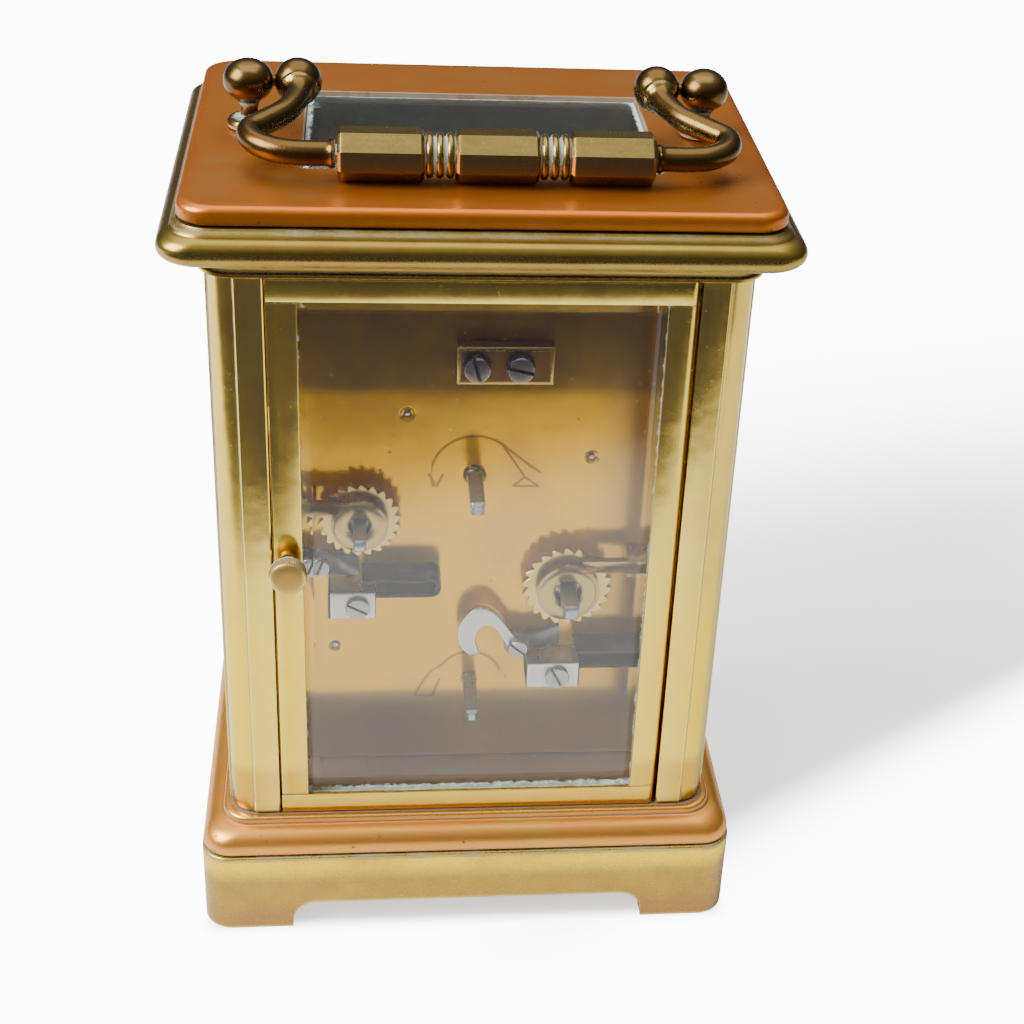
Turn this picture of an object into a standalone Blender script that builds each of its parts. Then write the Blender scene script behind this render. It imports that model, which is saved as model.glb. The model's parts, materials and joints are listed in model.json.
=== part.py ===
"""Travel alarm clock: a glazed brass carriage clock with a folding handle and an alarm.

The dial faces -Y, the winding door faces +Y and the feet stand on Z = 0. Sizes are metres.
"""

import math

import bmesh
import bpy
from mathutils import Matrix, Vector

# Case
BODY_WIDTH = 0.0834
BODY_DEPTH = 0.0612
BODY_HEIGHT = 0.1017
PLINTH_OVERHANG = 0.0048
PLINTH_HEIGHT = 0.0161
PLINTH_WALL = 0.0045
FOOT_LENGTH = 0.0155
FOOT_STEP = 0.0013
ARCH_RADIUS = 0.0042
MOULDING_HEIGHT = 0.0059
FLOOR_THICKNESS = 0.0030
CORNICE_OVERHANG = 0.0061
CORNICE_HEIGHT = 0.0091
TOP_OVERHANG = 0.0032
TOP_THICKNESS = 0.0028
TOP_BORDER = 0.0163
CASE_CORNER = 0.0050
COLUMN_ROUND = 0.0045
COLUMN_FILLET = 0.00045
STRIP_WIDTH = 0.0044
LEG_THICKNESS = 0.0046

# Glazing
GLASS_THICKNESS = 0.0022
GLASS_BEVEL = 0.0026
GLASS_SETBACK = 0.0008
GROOVE_DEPTH = 0.0015
GLASS_LEDGE = 0.0010

# Winding door
DOOR_THICKNESS = 0.0044
STILE_WIDTH = 0.0045
RAIL_HEIGHT = 0.0039
KNOB_RADIUS = 0.0030
KNOB_REACH = 0.0048
KNOB_HEIGHT = 0.0515
HINGE_PIN_RADIUS = 0.0007
HINGE_PIN_LENGTH = 0.0032
HINGE_INSET = 0.0016
PIN_SOCKET = 0.0020

# Handle
POST_SPACING = 0.0716
POST_HEIGHT = 0.0075
POST_BALL_RADIUS = 0.0039
POST_BALL_HEIGHT = 0.0034
POST_FOOT_RADIUS = 0.0035
KNUCKLE_RADIUS = 0.00365
TRUNNION_RADIUS = 0.0009
ARM_RADIUS = 0.0019
HANDLE_REACH = 0.0223
HANDLE_LEAN = 0.0016
GRIP_INSET = 0.0123
GRIP_RADIUS = 0.00405
GRIP_NECK_RADIUS = 0.0030
GRIP_NECK_LENGTH = 0.0046
GRIP_MIDDLE = 0.0124

# Movement frame
PLATE_WIDTH = 0.0580
PLATE_HEIGHT = 0.0894
PLATE_THICKNESS = 0.0022
PLATE_GAP = 0.0220
BACK_PLATE_DEPTH = 0.0155
PILLAR_RADIUS = 0.0024
PILLAR_MARGIN_X = 0.0030
PILLAR_LOW = 0.0065
PILLAR_HIGH = 0.0045
PLATFORM_THICKNESS = 0.0017
PLATFORM_SPAN = 0.0430

# Arbors: across, and up from the bottom of the plates
CENTRE_AT = (0.0, 0.0592)
ALARM_SET_AT = (0.0, 0.0175)
GOING_AT = (-0.0162, 0.0388)
ALARM_AT = (0.0190, 0.0523)
SECOND_AT = (-0.0195, 0.0625)
THIRD_AT = (0.0112, 0.0706)
CONTRATE_AT = (-0.0043, 0.0792)
ALARM_STAR_AT = (0.0205, 0.0391)
HAMMER_AT = (0.0234, 0.0248)
MINUTE_WHEEL_TURN = math.radians(-135)

# Arbor and barrel sizes
SQUARE_TIP_GAP = 0.0006
SQUARE_RISE = 0.0012
SQUARE_SHARE = 0.72
SET_SQUARE_SHARE = 0.90
GOING_ARBOR_RADIUS = 0.0019
ALARM_ARBOR_RADIUS = 0.0015
SET_ARBOR_RADIUS = 0.0011
CENTRE_ARBOR_RADIUS = 0.0012
PIVOT_RADIUS = 0.0005
ARBOR_RADIUS = 0.0009
RUNNING_FIT = 0.0001
GOING_DRUM_RADIUS = 0.0163
ALARM_DRUM_RADIUS = 0.0102
GOING_RATCHET_RADIUS = 0.0079
ALARM_RATCHET_RADIUS = 0.0070
RATCHET_TEETH = 22
RATCHET_RISE = 0.0020
RATCHET_THICKNESS = 0.0014
RATCHET_LEAN = 0.75
ARBOR_END_INSET = 0.0004
GOING_DRUM_INSET = 0.0039
ALARM_DRUM_INSET = 0.0067

# Tooth counts
GREAT_TEETH = 54
SECOND_PINION = 18
SECOND_TEETH = 48
CENTRE_PINION = 12
CENTRE_TEETH = 64
THIRD_PINION = 8
THIRD_TEETH = 45
CONTRATE_PINION = 12
CONTRATE_TEETH = 42
ESCAPE_PINION = 6
ESCAPE_TEETH = 15
CANNON_TEETH = 12
MINUTE_TEETH = 36
MINUTE_PINION = 10
HOUR_TEETH = 40
ALARM_TEETH = 48
STAR_PINION = 8
STAR_TEETH = 15
STAR_DEPTH = 0.0014
STAR_LEAN = 0.4
MOTION_CENTRES = 0.0084
WHEEL_THICKNESS = 0.0012

# Dial, hands and escapement
DIAL_DISTANCE = 0.0047
DIAL_THICKNESS = 0.0014
DIAL_RADIUS = 0.0215
ALARM_DIAL_RADIUS = 0.0080
DIAL_CLEARANCE = 0.0025
PIPE_WALL = 0.0005
HAND_THICKNESS = 0.0004
HAND_STEP = 0.0008
HAND_PIN_SHARE = 0.6
HOUR_REACH = 0.52
HOUR_TURN = math.radians(60)
MINUTE_REACH = 0.84
MINUTE_TURN = math.radians(-30)
ALARM_REACH = 0.80
ALARM_TURN = math.radians(-60)
CONTRATE_RADIUS = 0.0072
ESCAPE_RADIUS = 0.0040
ESCAPE_STAFF_RISE = 0.0012
ESCAPE_STAFF_INSET = 0.0011
BALANCE_RADIUS = 0.0085
BALANCE_OFFSET = 0.0132
BALANCE_STAFF_TIP = 0.0042
BALANCE_SHOULDER = 0.0030
BALANCE_STAFF_RADIUS = 0.0008
BALANCE_END_GAP = 0.0004

# Bell
BELL_RADIUS = 0.0240
BELL_HEIGHT = 0.0095
BELL_WALL = 0.0012
BELL_LOW = 0.0070
BELL_STUD_RADIUS = 0.0030
BELL_STUD_OVERLAP = 0.0005
HAMMER_GAP = 0.0020
HAMMER_HEAD_RADIUS = 0.0020
HAMMER_HEAD_LENGTH = 0.0026
HAMMER_BEND = (-0.0019, -0.0165)

# Back work
GOING_CLICK_AT = (-0.0081, 0.0269)
ALARM_CLICK_AT = (0.0257, 0.0440)
CLICK_BOSS_RADIUS = 0.0024
CLICK_ARM_HEIGHT = 0.0036
CLICK_SCREW_RADIUS = 0.0010
SPRING_THICKNESS = 0.0006
SPRING_OPENING = 0.0024
SPRING_WIDTH = 0.0052
GOING_SPRING_FOOT = (-0.0190, -0.0097)
ALARM_SPRING_FOOT = (0.0164, 0.0244)
COCK_GAP = 0.0004
COCK_THICKNESS = 0.0016
COCK_BAND = 0.0018
COCK_FOOT = 0.0026
SCREW_HEAD = 0.0016
SCREW_SLOT = 0.0006
BLOCK_AT = (-0.0043, 0.0809)
BLOCK_WIDTH = 0.0156
BLOCK_HEIGHT = 0.0067
BLOCK_THICKNESS = 0.0028

SEAT_GAP = 0.0003
CUT_MARGIN = 0.0010
SKIN = 0.0002
WELD = 1e-6
TINY_RADIUS = 0.0004

# Heights and depths that follow from the values above
base_top = PLINTH_HEIGHT + MOULDING_HEIGHT
body_top = base_top + BODY_HEIGHT
cornice_top = body_top + CORNICE_HEIGHT
top_top = cornice_top + TOP_THICKNESS
half_width = BODY_WIDTH / 2
half_depth = BODY_DEPTH / 2
column_reach = COLUMN_ROUND + STRIP_WIDTH
plate_low = base_top + SEAT_GAP
plate_high = plate_low + PLATE_HEIGHT
back_rear = half_depth - BACK_PLATE_DEPTH
back_front = back_rear - PLATE_THICKNESS
front_rear = back_front - PLATE_GAP
front_front = front_rear - PLATE_THICKNESS
door_glass_rear = half_depth - GLASS_SETBACK - SEAT_GAP
door_glass_front = door_glass_rear - GLASS_THICKNESS
square_tip = door_glass_front - SQUARE_TIP_GAP
dial_rear = front_front - DIAL_DISTANCE
dial_front = dial_rear - DIAL_THICKNESS
pivot_height = top_top + POST_HEIGHT
grip_half = POST_SPACING / 2 - GRIP_INSET
grip_flat = GRIP_RADIUS * math.cos(math.pi / 8)
grip_height = top_top + SEAT_GAP + grip_flat
ratchet_front = back_rear + RATCHET_RISE
hinge_round = HINGE_INSET - SEAT_GAP
hand_rear = dial_front - HAND_STEP
minute_rear = hand_rear - HAND_STEP - HAND_THICKNESS
square_start = back_rear + SQUARE_RISE

FINISHES = {
    "brass": ((0.62, 0.45, 0.16), 1.0, 0.28),
    "lacquer": ((0.52, 0.20, 0.07), 1.0, 0.35),
    "bronze": ((0.40, 0.30, 0.13), 1.0, 0.32),
    "steel": ((0.35, 0.35, 0.34), 1.0, 0.35),
    "blued": ((0.03, 0.04, 0.10), 1.0, 0.30),
    "glass": ((0.90, 0.94, 0.92), 0.0, 0.05),
    "enamel": ((0.88, 0.87, 0.82), 0.0, 0.15),
    "nickel": ((0.62, 0.60, 0.55), 1.0, 0.25),
}


def clear_scene():
    for obj in list(bpy.data.objects):
        bpy.data.objects.remove(obj)


def new_collection(name):
    collection = bpy.data.collections.new(name)
    bpy.context.scene.collection.children.link(collection)
    return collection


def new_object(name, mesh):
    obj = bpy.data.objects.new(name, mesh)
    parts.objects.link(obj)
    return obj


def mesh_object(name, shape):
    """Make a bmesh an object, with doubles merged and faces pointing out."""
    bmesh.ops.remove_doubles(shape, verts=shape.verts, dist=WELD)
    bmesh.ops.recalc_face_normals(shape, faces=shape.faces)
    mesh = bpy.data.meshes.new(name)
    shape.to_mesh(mesh)
    shape.free()
    return new_object(name, mesh)


def baked(obj, matrix):
    """The evaluated shape as a plain mesh object with the matrix applied."""
    name = obj.name
    bpy.context.view_layer.update()
    evaluated = obj.evaluated_get(bpy.context.evaluated_depsgraph_get())
    mesh = bpy.data.meshes.new_from_object(evaluated)
    mesh.transform(matrix)
    bpy.data.objects.remove(obj)
    shape = bmesh.new()
    shape.from_mesh(mesh)
    bpy.data.meshes.remove(mesh)
    return mesh_object(name, shape)


def turned(name, profile, axis, centre, steps=24):
    """Turn (radius, distance along the axis) points, listed from the far end to the near end."""
    frames = {
        "X": Matrix(((0, 0, 1), (1, 0, 0), (0, 1, 0))),
        "Y": Matrix(((1, 0, 0), (0, 0, 1), (0, -1, 0))),
        "Z": Matrix.Identity(3),
    }
    mesh = bpy.data.meshes.new(name)
    closed = profile[0][0] > 0 and profile[-1][0] > 0
    count = len(profile)
    edges = [(i, i + 1) for i in range(count - 1)] + ([(count - 1, 0)] if closed else [])
    mesh.from_pydata([(radius, 0, along) for radius, along in profile], edges, [])
    obj = new_object(name, mesh)
    screw = obj.modifiers.new("Turn", "SCREW")
    screw.steps = steps
    screw.render_steps = steps
    screw.use_merge_vertices = True
    screw.merge_threshold = WELD
    return baked(obj, Matrix.Translation(centre) @ frames[axis].to_4x4())


def extruded(name, outlines, plane, low, high):
    """Extrude flat outlines, the later ones as holes, from low to high across their plane."""
    middle = (low + high) / 2
    frames = {
        "XY": Matrix(((1, 0, 0, 0), (0, 1, 0, 0), (0, 0, 1, middle), (0, 0, 0, 1))),
        "XZ": Matrix(((1, 0, 0, 0), (0, 0, -1, middle), (0, 1, 0, 0), (0, 0, 0, 1))),
        "YZ": Matrix(((0, 0, 1, middle), (1, 0, 0, 0), (0, 1, 0, 0), (0, 0, 0, 1))),
    }
    curve = bpy.data.curves.new(name, "CURVE")
    curve.dimensions = "2D"
    curve.fill_mode = "BOTH"
    curve.extrude = (high - low) / 2 * 1000
    for outline in outlines:
        spline = curve.splines.new("POLY")
        spline.points.add(len(outline) - 1)
        for point, (x, y) in zip(spline.points, outline):
            point.co = (x * 1000, y * 1000, 0, 1)
        spline.use_cyclic_u = True
    return baked(new_object(name, curve), frames[plane] @ Matrix.Scale(0.001, 4))


def lofted(name, rings, closed=False):
    """Join rings of as many points each, capped at both ends or closed into a frame."""
    shape = bmesh.new()
    loops = [[shape.verts.new(point) for point in ring] for ring in rings]
    pairs = list(zip(loops, loops[1:]))
    if closed:
        pairs.append((loops[-1], loops[0]))
    else:
        shape.faces.new(loops[0])
        shape.faces.new(loops[-1])
    for lower, upper in pairs:
        for i in range(len(lower)):
            j = (i + 1) % len(lower)
            shape.faces.new((lower[i], lower[j], upper[j], upper[i]))
    return mesh_object(name, shape)


def tube(name, points, radius, sides_resolution=2):
    curve = bpy.data.curves.new(name, "CURVE")
    curve.dimensions = "3D"
    curve.bevel_depth = radius
    curve.bevel_resolution = sides_resolution
    curve.use_fill_caps = True
    spline = curve.splines.new("POLY")
    spline.points.add(len(points) - 1)
    for point, place in zip(spline.points, points):
        point.co = (*place, 1)
    return baked(new_object(name, curve), Matrix.Identity(4))


def ball(name, centre, radius, segments=14):
    shape = bmesh.new()
    place = Matrix.Translation(centre)
    bmesh.ops.create_uvsphere(
        shape, u_segments=segments, v_segments=segments // 2 + 1, radius=radius, matrix=place
    )
    return mesh_object(name, shape)


def box(name, low, high):
    shape = bmesh.new()
    size = [b - a for a, b in zip(low, high)]
    centre = [(a + b) / 2 for a, b in zip(low, high)]
    place = Matrix.Translation(centre) @ Matrix.Diagonal((*size, 1))
    bmesh.ops.create_cube(shape, size=1, matrix=place)
    return mesh_object(name, shape)


def combine(obj, others, operation):
    for other in others:
        parts.objects.unlink(other)
        cutters.objects.link(other)
        other.hide_render = True
        other.display_type = "WIRE"
        step = obj.modifiers.new(other.name, "BOOLEAN")
        step.operation = operation
        step.solver = "EXACT"
        step.object = other
    return obj


def cut(obj, *others):
    return combine(obj, others, "DIFFERENCE")


def joined(obj, *others):
    return combine(obj, others, "UNION")


def finish(obj, kind, origin=None):
    """Give the piece its material and, where it moves, an origin on its axis."""
    colour, metallic, roughness = FINISHES[kind]
    material = bpy.data.materials.new(obj.name + "_" + kind)
    material.use_nodes = True
    shader = material.node_tree.nodes["Principled BSDF"]
    shader.inputs["Base Color"].default_value = (*colour, 1)
    shader.inputs["Metallic"].default_value = metallic
    shader.inputs["Roughness"].default_value = roughness
    obj.data.materials.clear()
    obj.data.materials.append(material)
    if origin is not None:
        obj.data.transform(Matrix.Translation(-Vector(origin)))
        obj.location = origin
    obj.data.shade_smooth()
    obj.data.set_sharp_from_angle(angle=math.radians(30))
    return obj


def circle(centre, radius, steps, start=0.0):
    return [
        (
            centre[0] + radius * math.cos(start + 2 * math.pi * i / steps),
            centre[1] + radius * math.sin(start + 2 * math.pi * i / steps),
        )
        for i in range(steps)
    ]


def arc(centre, radius, start, end, steps):
    """Points on an arc, angles in degrees, both ends included."""
    angles = [math.radians(start + (end - start) * i / steps) for i in range(steps + 1)]
    return [(centre[0] + radius * math.cos(a), centre[1] + radius * math.sin(a)) for a in angles]


def rectangle(low, high):
    return [low, (high[0], low[1]), high, (low[0], high[1])]


def rounded_rectangle(half_x, half_y, radius, steps=3):
    corners = (
        ((half_x - radius, half_y - radius), 0),
        ((radius - half_x, half_y - radius), 90),
        ((radius - half_x, radius - half_y), 180),
        ((half_x - radius, radius - half_y), 270),
    )
    return [p for centre, start in corners for p in arc(centre, radius, start, start + 90, steps)]


def case_ring(projection, height, radius=CASE_CORNER):
    """A rounded rectangle this far out from the body's faces, or in where it is negative."""
    outline = rounded_rectangle(half_width + projection, half_depth + projection, radius)
    return [(x, y, height) for x, y in outline]


def bulge(centre, reach, start, end, steps):
    """Points of an elliptic bead: (projection, height) from a centre and its two half sizes."""
    angles = [math.radians(start + (end - start) * i / steps) for i in range(steps + 1)]
    across, up = reach
    return [(centre[0] + across * math.cos(a), centre[1] + up * math.sin(a)) for a in angles]


def arbor_place(at):
    return (at[0], plate_low + at[1])


def distance(a, b):
    return math.hypot(b[0] - a[0], b[1] - a[1])


def direction(a, b):
    return math.atan2(b[1] - a[1], b[0] - a[0])


def toothed(teeth, module, phase):
    """A wheel's outline about its own axis, with a tooth centred on the phase angle."""
    pitch = 2 * math.pi / teeth
    pitch_radius = module * teeth / 2
    tip = pitch_radius + 0.80 * module
    root = pitch_radius - 1.25 * module
    outline = []
    for i in range(teeth):
        for radius, share in ((tip, 0.0), (root, 0.5)):
            angle = phase + (i + share) * pitch
            outline.append((radius * math.cos(angle), radius * math.sin(angle)))
    return outline


def sawtoothed(teeth, radius, depth, lean, phase=0.0):
    """A ratchet's outline: a long slope and an undercut face on each tooth."""
    pitch = 2 * math.pi / teeth
    outline = []
    for i in range(teeth):
        start = phase + i * pitch
        outline.append(((radius - depth) * math.cos(start), (radius - depth) * math.sin(start)))
        tip = start + lean * pitch
        outline.append((radius * math.cos(tip), radius * math.sin(tip)))
    return outline


def moved(outline, place):
    return [(x + place[0], y + place[1]) for x, y in outline]


def mesh_phases(driver, driven, driven_teeth):
    """Phases that put a tooth of the driver into a gap of the driven pinion."""
    along = direction(driver, driven)
    return along, along + math.pi + math.pi / driven_teeth


def gear(name, place, teeth, module, phase, rear, front):
    return extruded(name, [moved(toothed(teeth, module, phase), place)], "XZ", front, rear)


def rod(name, place, radius, rear, front, steps=10):
    return turned(
        name, [(0, rear), (radius, rear), (radius, front), (0, front)], "Y", on_axis(place), steps
    )


def pivoted_rod(name, place, radius, rear, front, steps=10):
    """An arbor with a thin pivot at each end that enters the plates."""
    reach = PLATE_THICKNESS / 2
    profile = [
        (0, rear + reach),
        (PIVOT_RADIUS, rear + reach),
        (PIVOT_RADIUS, rear - SEAT_GAP),
        (radius, rear - SEAT_GAP),
        (radius, front + SEAT_GAP),
        (PIVOT_RADIUS, front + SEAT_GAP),
        (PIVOT_RADIUS, front - reach),
        (0, front - reach),
    ]
    return turned(name, profile, "Y", (place[0], 0, place[1]), steps)


def hole_radius(radius):
    """A hole a running fit larger, also across the flats of its facets."""
    return (radius + RUNNING_FIT) / math.cos(math.pi / 12)


def on_axis(place):
    return (place[0], 0, place[1])


def build_base():
    ends = FOOT_LENGTH + ARCH_RADIUS
    edge = TINY_RADIUS
    levels = ((-edge, 0), (0, edge), (0, PLINTH_HEIGHT - edge), (-edge, PLINTH_HEIGHT))
    plinth = lofted("base_plinth", [case_ring(PLINTH_OVERHANG + p, z) for p, z in levels])
    inner_x = half_width + PLINTH_OVERHANG - PLINTH_WALL
    inner_y = half_depth + PLINTH_OVERHANG - PLINTH_WALL
    hollow_high = PLINTH_HEIGHT + CUT_MARGIN
    hollow = box("plinth_hollow", (-inner_x, -inner_y, -CUT_MARGIN), (inner_x, inner_y, hollow_high))
    cutting = [hollow]
    for name, plane, half, reach in (
        ("arch_across", "XZ", half_width + PLINTH_OVERHANG, half_depth + 0.02),
        ("arch_deep", "YZ", half_depth + PLINTH_OVERHANG, half_width + 0.02),
    ):
        inside = half - ends
        outline = [(inside + ARCH_RADIUS, -0.01)]
        outline += arc((inside, FOOT_STEP), ARCH_RADIUS, 0, 90, 5)
        outline += arc((-inside, FOOT_STEP), ARCH_RADIUS, 90, 180, 5)
        outline.append((-inside - ARCH_RADIUS, -0.01))
        cutting.append(extruded(name, [outline], plane, -reach, reach))
    finish(cut(plinth, *cutting), "brass")

    low = PLINTH_HEIGHT + SEAT_GAP
    inward = PLINTH_OVERHANG - 0.0003
    levels = [(inward, low), (inward, low + 0.0008)]
    levels += bulge((0.0014, low + 0.0009), (0.0030, 0.0033), 0, 90, 6)
    levels += [(0.0012, base_top - 0.0012), (0.0010, base_top)]
    moulding = lofted("base_moulding", [case_ring(p, z) for p, z in levels])
    under = box(
        "moulding_hollow", (-inner_x, -inner_y, 0), (inner_x, inner_y, base_top - FLOOR_THICKNESS)
    )
    slot_x = hammer_stem_across(base_top - FLOOR_THICKNESS / 2)
    slot_low = (slot_x - 0.0030, hammer_y() - 0.0016, 0.01)
    slot_high = (slot_x + 0.0024, hammer_y() + 0.0016, base_top + 0.01)
    slot = box("hammer_slot", slot_low, slot_high)
    bore = hole_radius(HINGE_PIN_RADIUS)
    pin_hole = vertical_rod("lower_pin_hole", bore, base_top - PIN_SOCKET, base_top + CUT_MARGIN)
    finish(cut(moulding, under, slot, pin_hole), "lacquer")


def column_outline(sign_x, sign_y, grooved_end):
    """An L with a rounded outer corner between two fillets, grooved for the glass."""
    inner_x = half_width - column_reach
    inner_y = half_depth - column_reach
    groove = GLASS_THICKNESS + 2 * RUNNING_FIT
    glass_x = half_width - GLASS_SETBACK
    glass_y = half_depth - GLASS_SETBACK
    centre = (half_width - COLUMN_ROUND, half_depth - COLUMN_ROUND)
    outline = [(inner_x, half_depth), (centre[0], half_depth)]
    outline += arc(centre, COLUMN_ROUND - COLUMN_FILLET, 90, 0, 6)
    outline += [(half_width, centre[1]), (half_width, inner_y)]
    outline += [
        (glass_x, inner_y),
        (glass_x, inner_y + GROOVE_DEPTH),
        (glass_x - groove, inner_y + GROOVE_DEPTH),
        (glass_x - groove, inner_y),
    ]
    leg_x = half_width - LEG_THICKNESS
    leg_y = half_depth - LEG_THICKNESS
    outline += [(leg_x, inner_y), (leg_x, leg_y), (inner_x, leg_y)]
    if grooved_end:
        outline += [
            (inner_x, glass_y - groove),
            (inner_x + GROOVE_DEPTH, glass_y - groove),
            (inner_x + GROOVE_DEPTH, glass_y),
            (inner_x, glass_y),
        ]
    return [(sign_x * x, sign_y * y) for x, y in outline]


def build_columns():
    for side, sign_x in (("left", -1), ("right", 1)):
        for end, sign_y in (("rear", 1), ("front", -1)):
            outline = column_outline(sign_x, sign_y, end == "front")
            column = extruded(
                f"column_{end}_{side}", [outline], "XY", base_top + SEAT_GAP, body_top - SEAT_GAP
            )
            finish(column, "brass")


def build_cornice_and_top():
    low = body_top
    levels = [(0.0008, low), (0.0008, low + 0.0006), (0.0004, low + 0.0008)]
    levels += [(0.0005, low + 0.0018), (0.0013, low + 0.0026), (0.0018, low + 0.0028)]
    levels += [(0.0018, low + 0.0031)]
    levels += bulge((0.0038, low + 0.0055), (CORNICE_OVERHANG - 0.0038, 0.0023), -90, 80, 8)
    levels += [(0.0038, cornice_top - 0.0006), (0.0034, cornice_top - SEAT_GAP)]
    rings = [case_ring(p, z) for p, z in levels]
    inner = -column_reach
    rings += [case_ring(inner, cornice_top - SEAT_GAP, 0.001), case_ring(inner, low, 0.001)]
    cornice = lofted("cornice", rings, closed=True)
    bore = hole_radius(HINGE_PIN_RADIUS)
    pin_hole = vertical_rod("upper_pin_hole", bore, low - CUT_MARGIN, low + PIN_SOCKET)
    finish(cut(cornice, pin_hole), "brass")

    window_x = half_width + TOP_OVERHANG - TOP_BORDER - 0.0013
    window_y = half_depth + TOP_OVERHANG - TOP_BORDER
    edge = TOP_OVERHANG
    levels = ((edge - 0.0002, cornice_top), (edge, cornice_top + 0.0002), (edge, top_top - 0.0010))
    levels += ((edge - 0.0003, top_top - 0.0003), (edge - 0.0010, top_top))
    rings = [case_ring(p, z) for p, z in levels]
    ledge = top_top - GLASS_THICKNESS + SEAT_GAP
    for inset, z in ((0, top_top), (0, ledge), (GLASS_LEDGE, ledge), (GLASS_LEDGE, cornice_top)):
        outline = rounded_rectangle(window_x - inset, window_y - inset, TINY_RADIUS)
        rings.append([(x, y, z) for x, y in outline])
    finish(lofted("top_plate", rings, closed=True), "lacquer")
    glass_x = window_x - RUNNING_FIT
    glass_y = window_y - RUNNING_FIT
    glass_low = ledge + RUNNING_FIT
    glass_high = top_top - RUNNING_FIT
    pane = bevelled_glass(
        "top_glass", "XY", (-glass_x, -glass_y), (glass_x, glass_y), glass_low, glass_high
    )
    finish(pane, "glass")


def bevelled_glass(name, plane, low, high, back, face):
    """A pane from back to face with a shallow bevel around its face. face may lie below back."""
    bevel_depth = 0.0007 * (1 if face > back else -1)
    frames = {
        "XY": lambda a, b, h: (a, b, h),
        "XZ": lambda a, b, h: (a, h, b),
        "YZ": lambda a, b, h: (h, a, b),
    }
    rings = []
    for inset, height in ((0, back), (0, face - bevel_depth), (GLASS_BEVEL, face)):
        corners = rectangle((low[0] + inset, low[1] + inset), (high[0] - inset, high[1] - inset))
        rings.append([frames[plane](a, b, height) for a, b in corners])
    return lofted(name, rings)


def build_glasses():
    low = base_top + SEAT_GAP
    high = body_top - SEAT_GAP
    reach_y = half_depth - column_reach + GROOVE_DEPTH - RUNNING_FIT
    reach_x = half_width - column_reach + GROOVE_DEPTH - RUNNING_FIT
    outer = half_width - GLASS_SETBACK - RUNNING_FIT
    inner = outer - GLASS_THICKNESS
    for side, sign in (("left", -1), ("right", 1)):
        pane = bevelled_glass(
            f"{side}_glass", "YZ", (-reach_y, low), (reach_y, high), sign * inner, sign * outer
        )
        finish(pane, "glass")
    outer = -(half_depth - GLASS_SETBACK - RUNNING_FIT)
    inner = outer + GLASS_THICKNESS
    finish(bevelled_glass("front_glass", "XZ", (-reach_x, low), (reach_x, high), inner, outer), "glass")


def hinge_place():
    return (-(half_width - column_reach - HINGE_INSET), half_depth - hinge_round)


def vertical_rod(name, radius, low, high):
    x, y = hinge_place()
    return turned(name, [(0, high), (radius, high), (radius, low), (0, low)], "Z", (x, y, 0), 12)


def hinge_corner(low, high):
    """What to cut off the door's rear corner so that it turns about the pin clear of the column."""
    x, y = hinge_place()
    outer = hinge_round + CUT_MARGIN
    bend = arc((x, y), hinge_round, 180, 90, 5)
    outline = [(x - outer, y), *bend, (x, y + outer), (x - outer, y + outer)]
    return extruded("hinge_corner", [outline], "XY", low, high)


def build_door():
    x = half_width - column_reach - SEAT_GAP
    low = base_top + SEAT_GAP
    high = body_top - SEAT_GAP
    window = (x - STILE_WIDTH, low + RAIL_HEIGHT, high - RAIL_HEIGHT)
    outer = rectangle((-x, low), (x, high))
    inner = rectangle((-window[0], window[1]), (window[0], window[2]))
    frame = extruded("door_frame", [outer, inner], "XZ", half_depth - DOOR_THICKNESS, half_depth)
    ledge = GLASS_LEDGE
    rebate = box(
        "door_rebate",
        (-window[0] - ledge, half_depth - DOOR_THICKNESS - 0.01, window[1] - ledge),
        (window[0] + ledge, door_glass_rear + RUNNING_FIT, window[2] + ledge),
    )
    hole = hole_radius(HINGE_PIN_RADIUS)
    upper = vertical_rod("upper_door_hole", hole, high - HINGE_PIN_LENGTH, high + 0.001)
    lower = vertical_rod("lower_door_hole", hole, low - 0.001, low + HINGE_PIN_LENGTH)
    knob_x = x - STILE_WIDTH / 2
    knob_z = base_top + KNOB_HEIGHT
    shank = 0.0009
    knob_hole = turned(
        "knob_hole",
        [(0, half_depth + 0.01), (hole_radius(shank), half_depth + 0.01)]
        + [(hole_radius(shank), half_depth - 0.0030), (0, half_depth - 0.0030)],
        "Y",
        (knob_x, 0, knob_z),
        12,
    )
    axis = (*hinge_place(), low)
    corner = hinge_corner(low - CUT_MARGIN, high + CUT_MARGIN)
    finish(cut(frame, rebate, upper, lower, knob_hole, corner), "brass", axis)
    reach = window[0] + ledge - RUNNING_FIT
    glass = bevelled_glass(
        "door_glass",
        "XZ",
        (-reach, window[1] - ledge + RUNNING_FIT),
        (reach, window[2] + ledge - RUNNING_FIT),
        door_glass_front,
        door_glass_rear,
    )
    finish(glass, "glass", axis)
    face = half_depth
    profile = [
        (0, face + KNOB_REACH),
        (KNOB_RADIUS - 0.0003, face + KNOB_REACH),
        (KNOB_RADIUS, face + KNOB_REACH - 0.0003),
        (KNOB_RADIUS, face + 0.0022),
        (KNOB_RADIUS - 0.0006, face + 0.0018),
        (0.0014, face + 0.0014),
        (0.0016, face + SEAT_GAP),
        (shank, face + SEAT_GAP),
        (shank, face - 0.0025),
        (0, face - 0.0025),
    ]
    finish(turned("door_knob", profile, "Y", (knob_x, 0, knob_z), 20), "brass", axis)
    inset = PIN_SOCKET - SEAT_GAP
    upper_pin = vertical_rod(
        "hinge_pin_upper", HINGE_PIN_RADIUS, high - HINGE_PIN_LENGTH + SEAT_GAP, body_top + inset
    )
    lower_pin = vertical_rod(
        "hinge_pin_lower", HINGE_PIN_RADIUS, base_top - inset, low + HINGE_PIN_LENGTH - SEAT_GAP
    )
    finish(upper_pin, "steel")
    finish(lower_pin, "steel")


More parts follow.
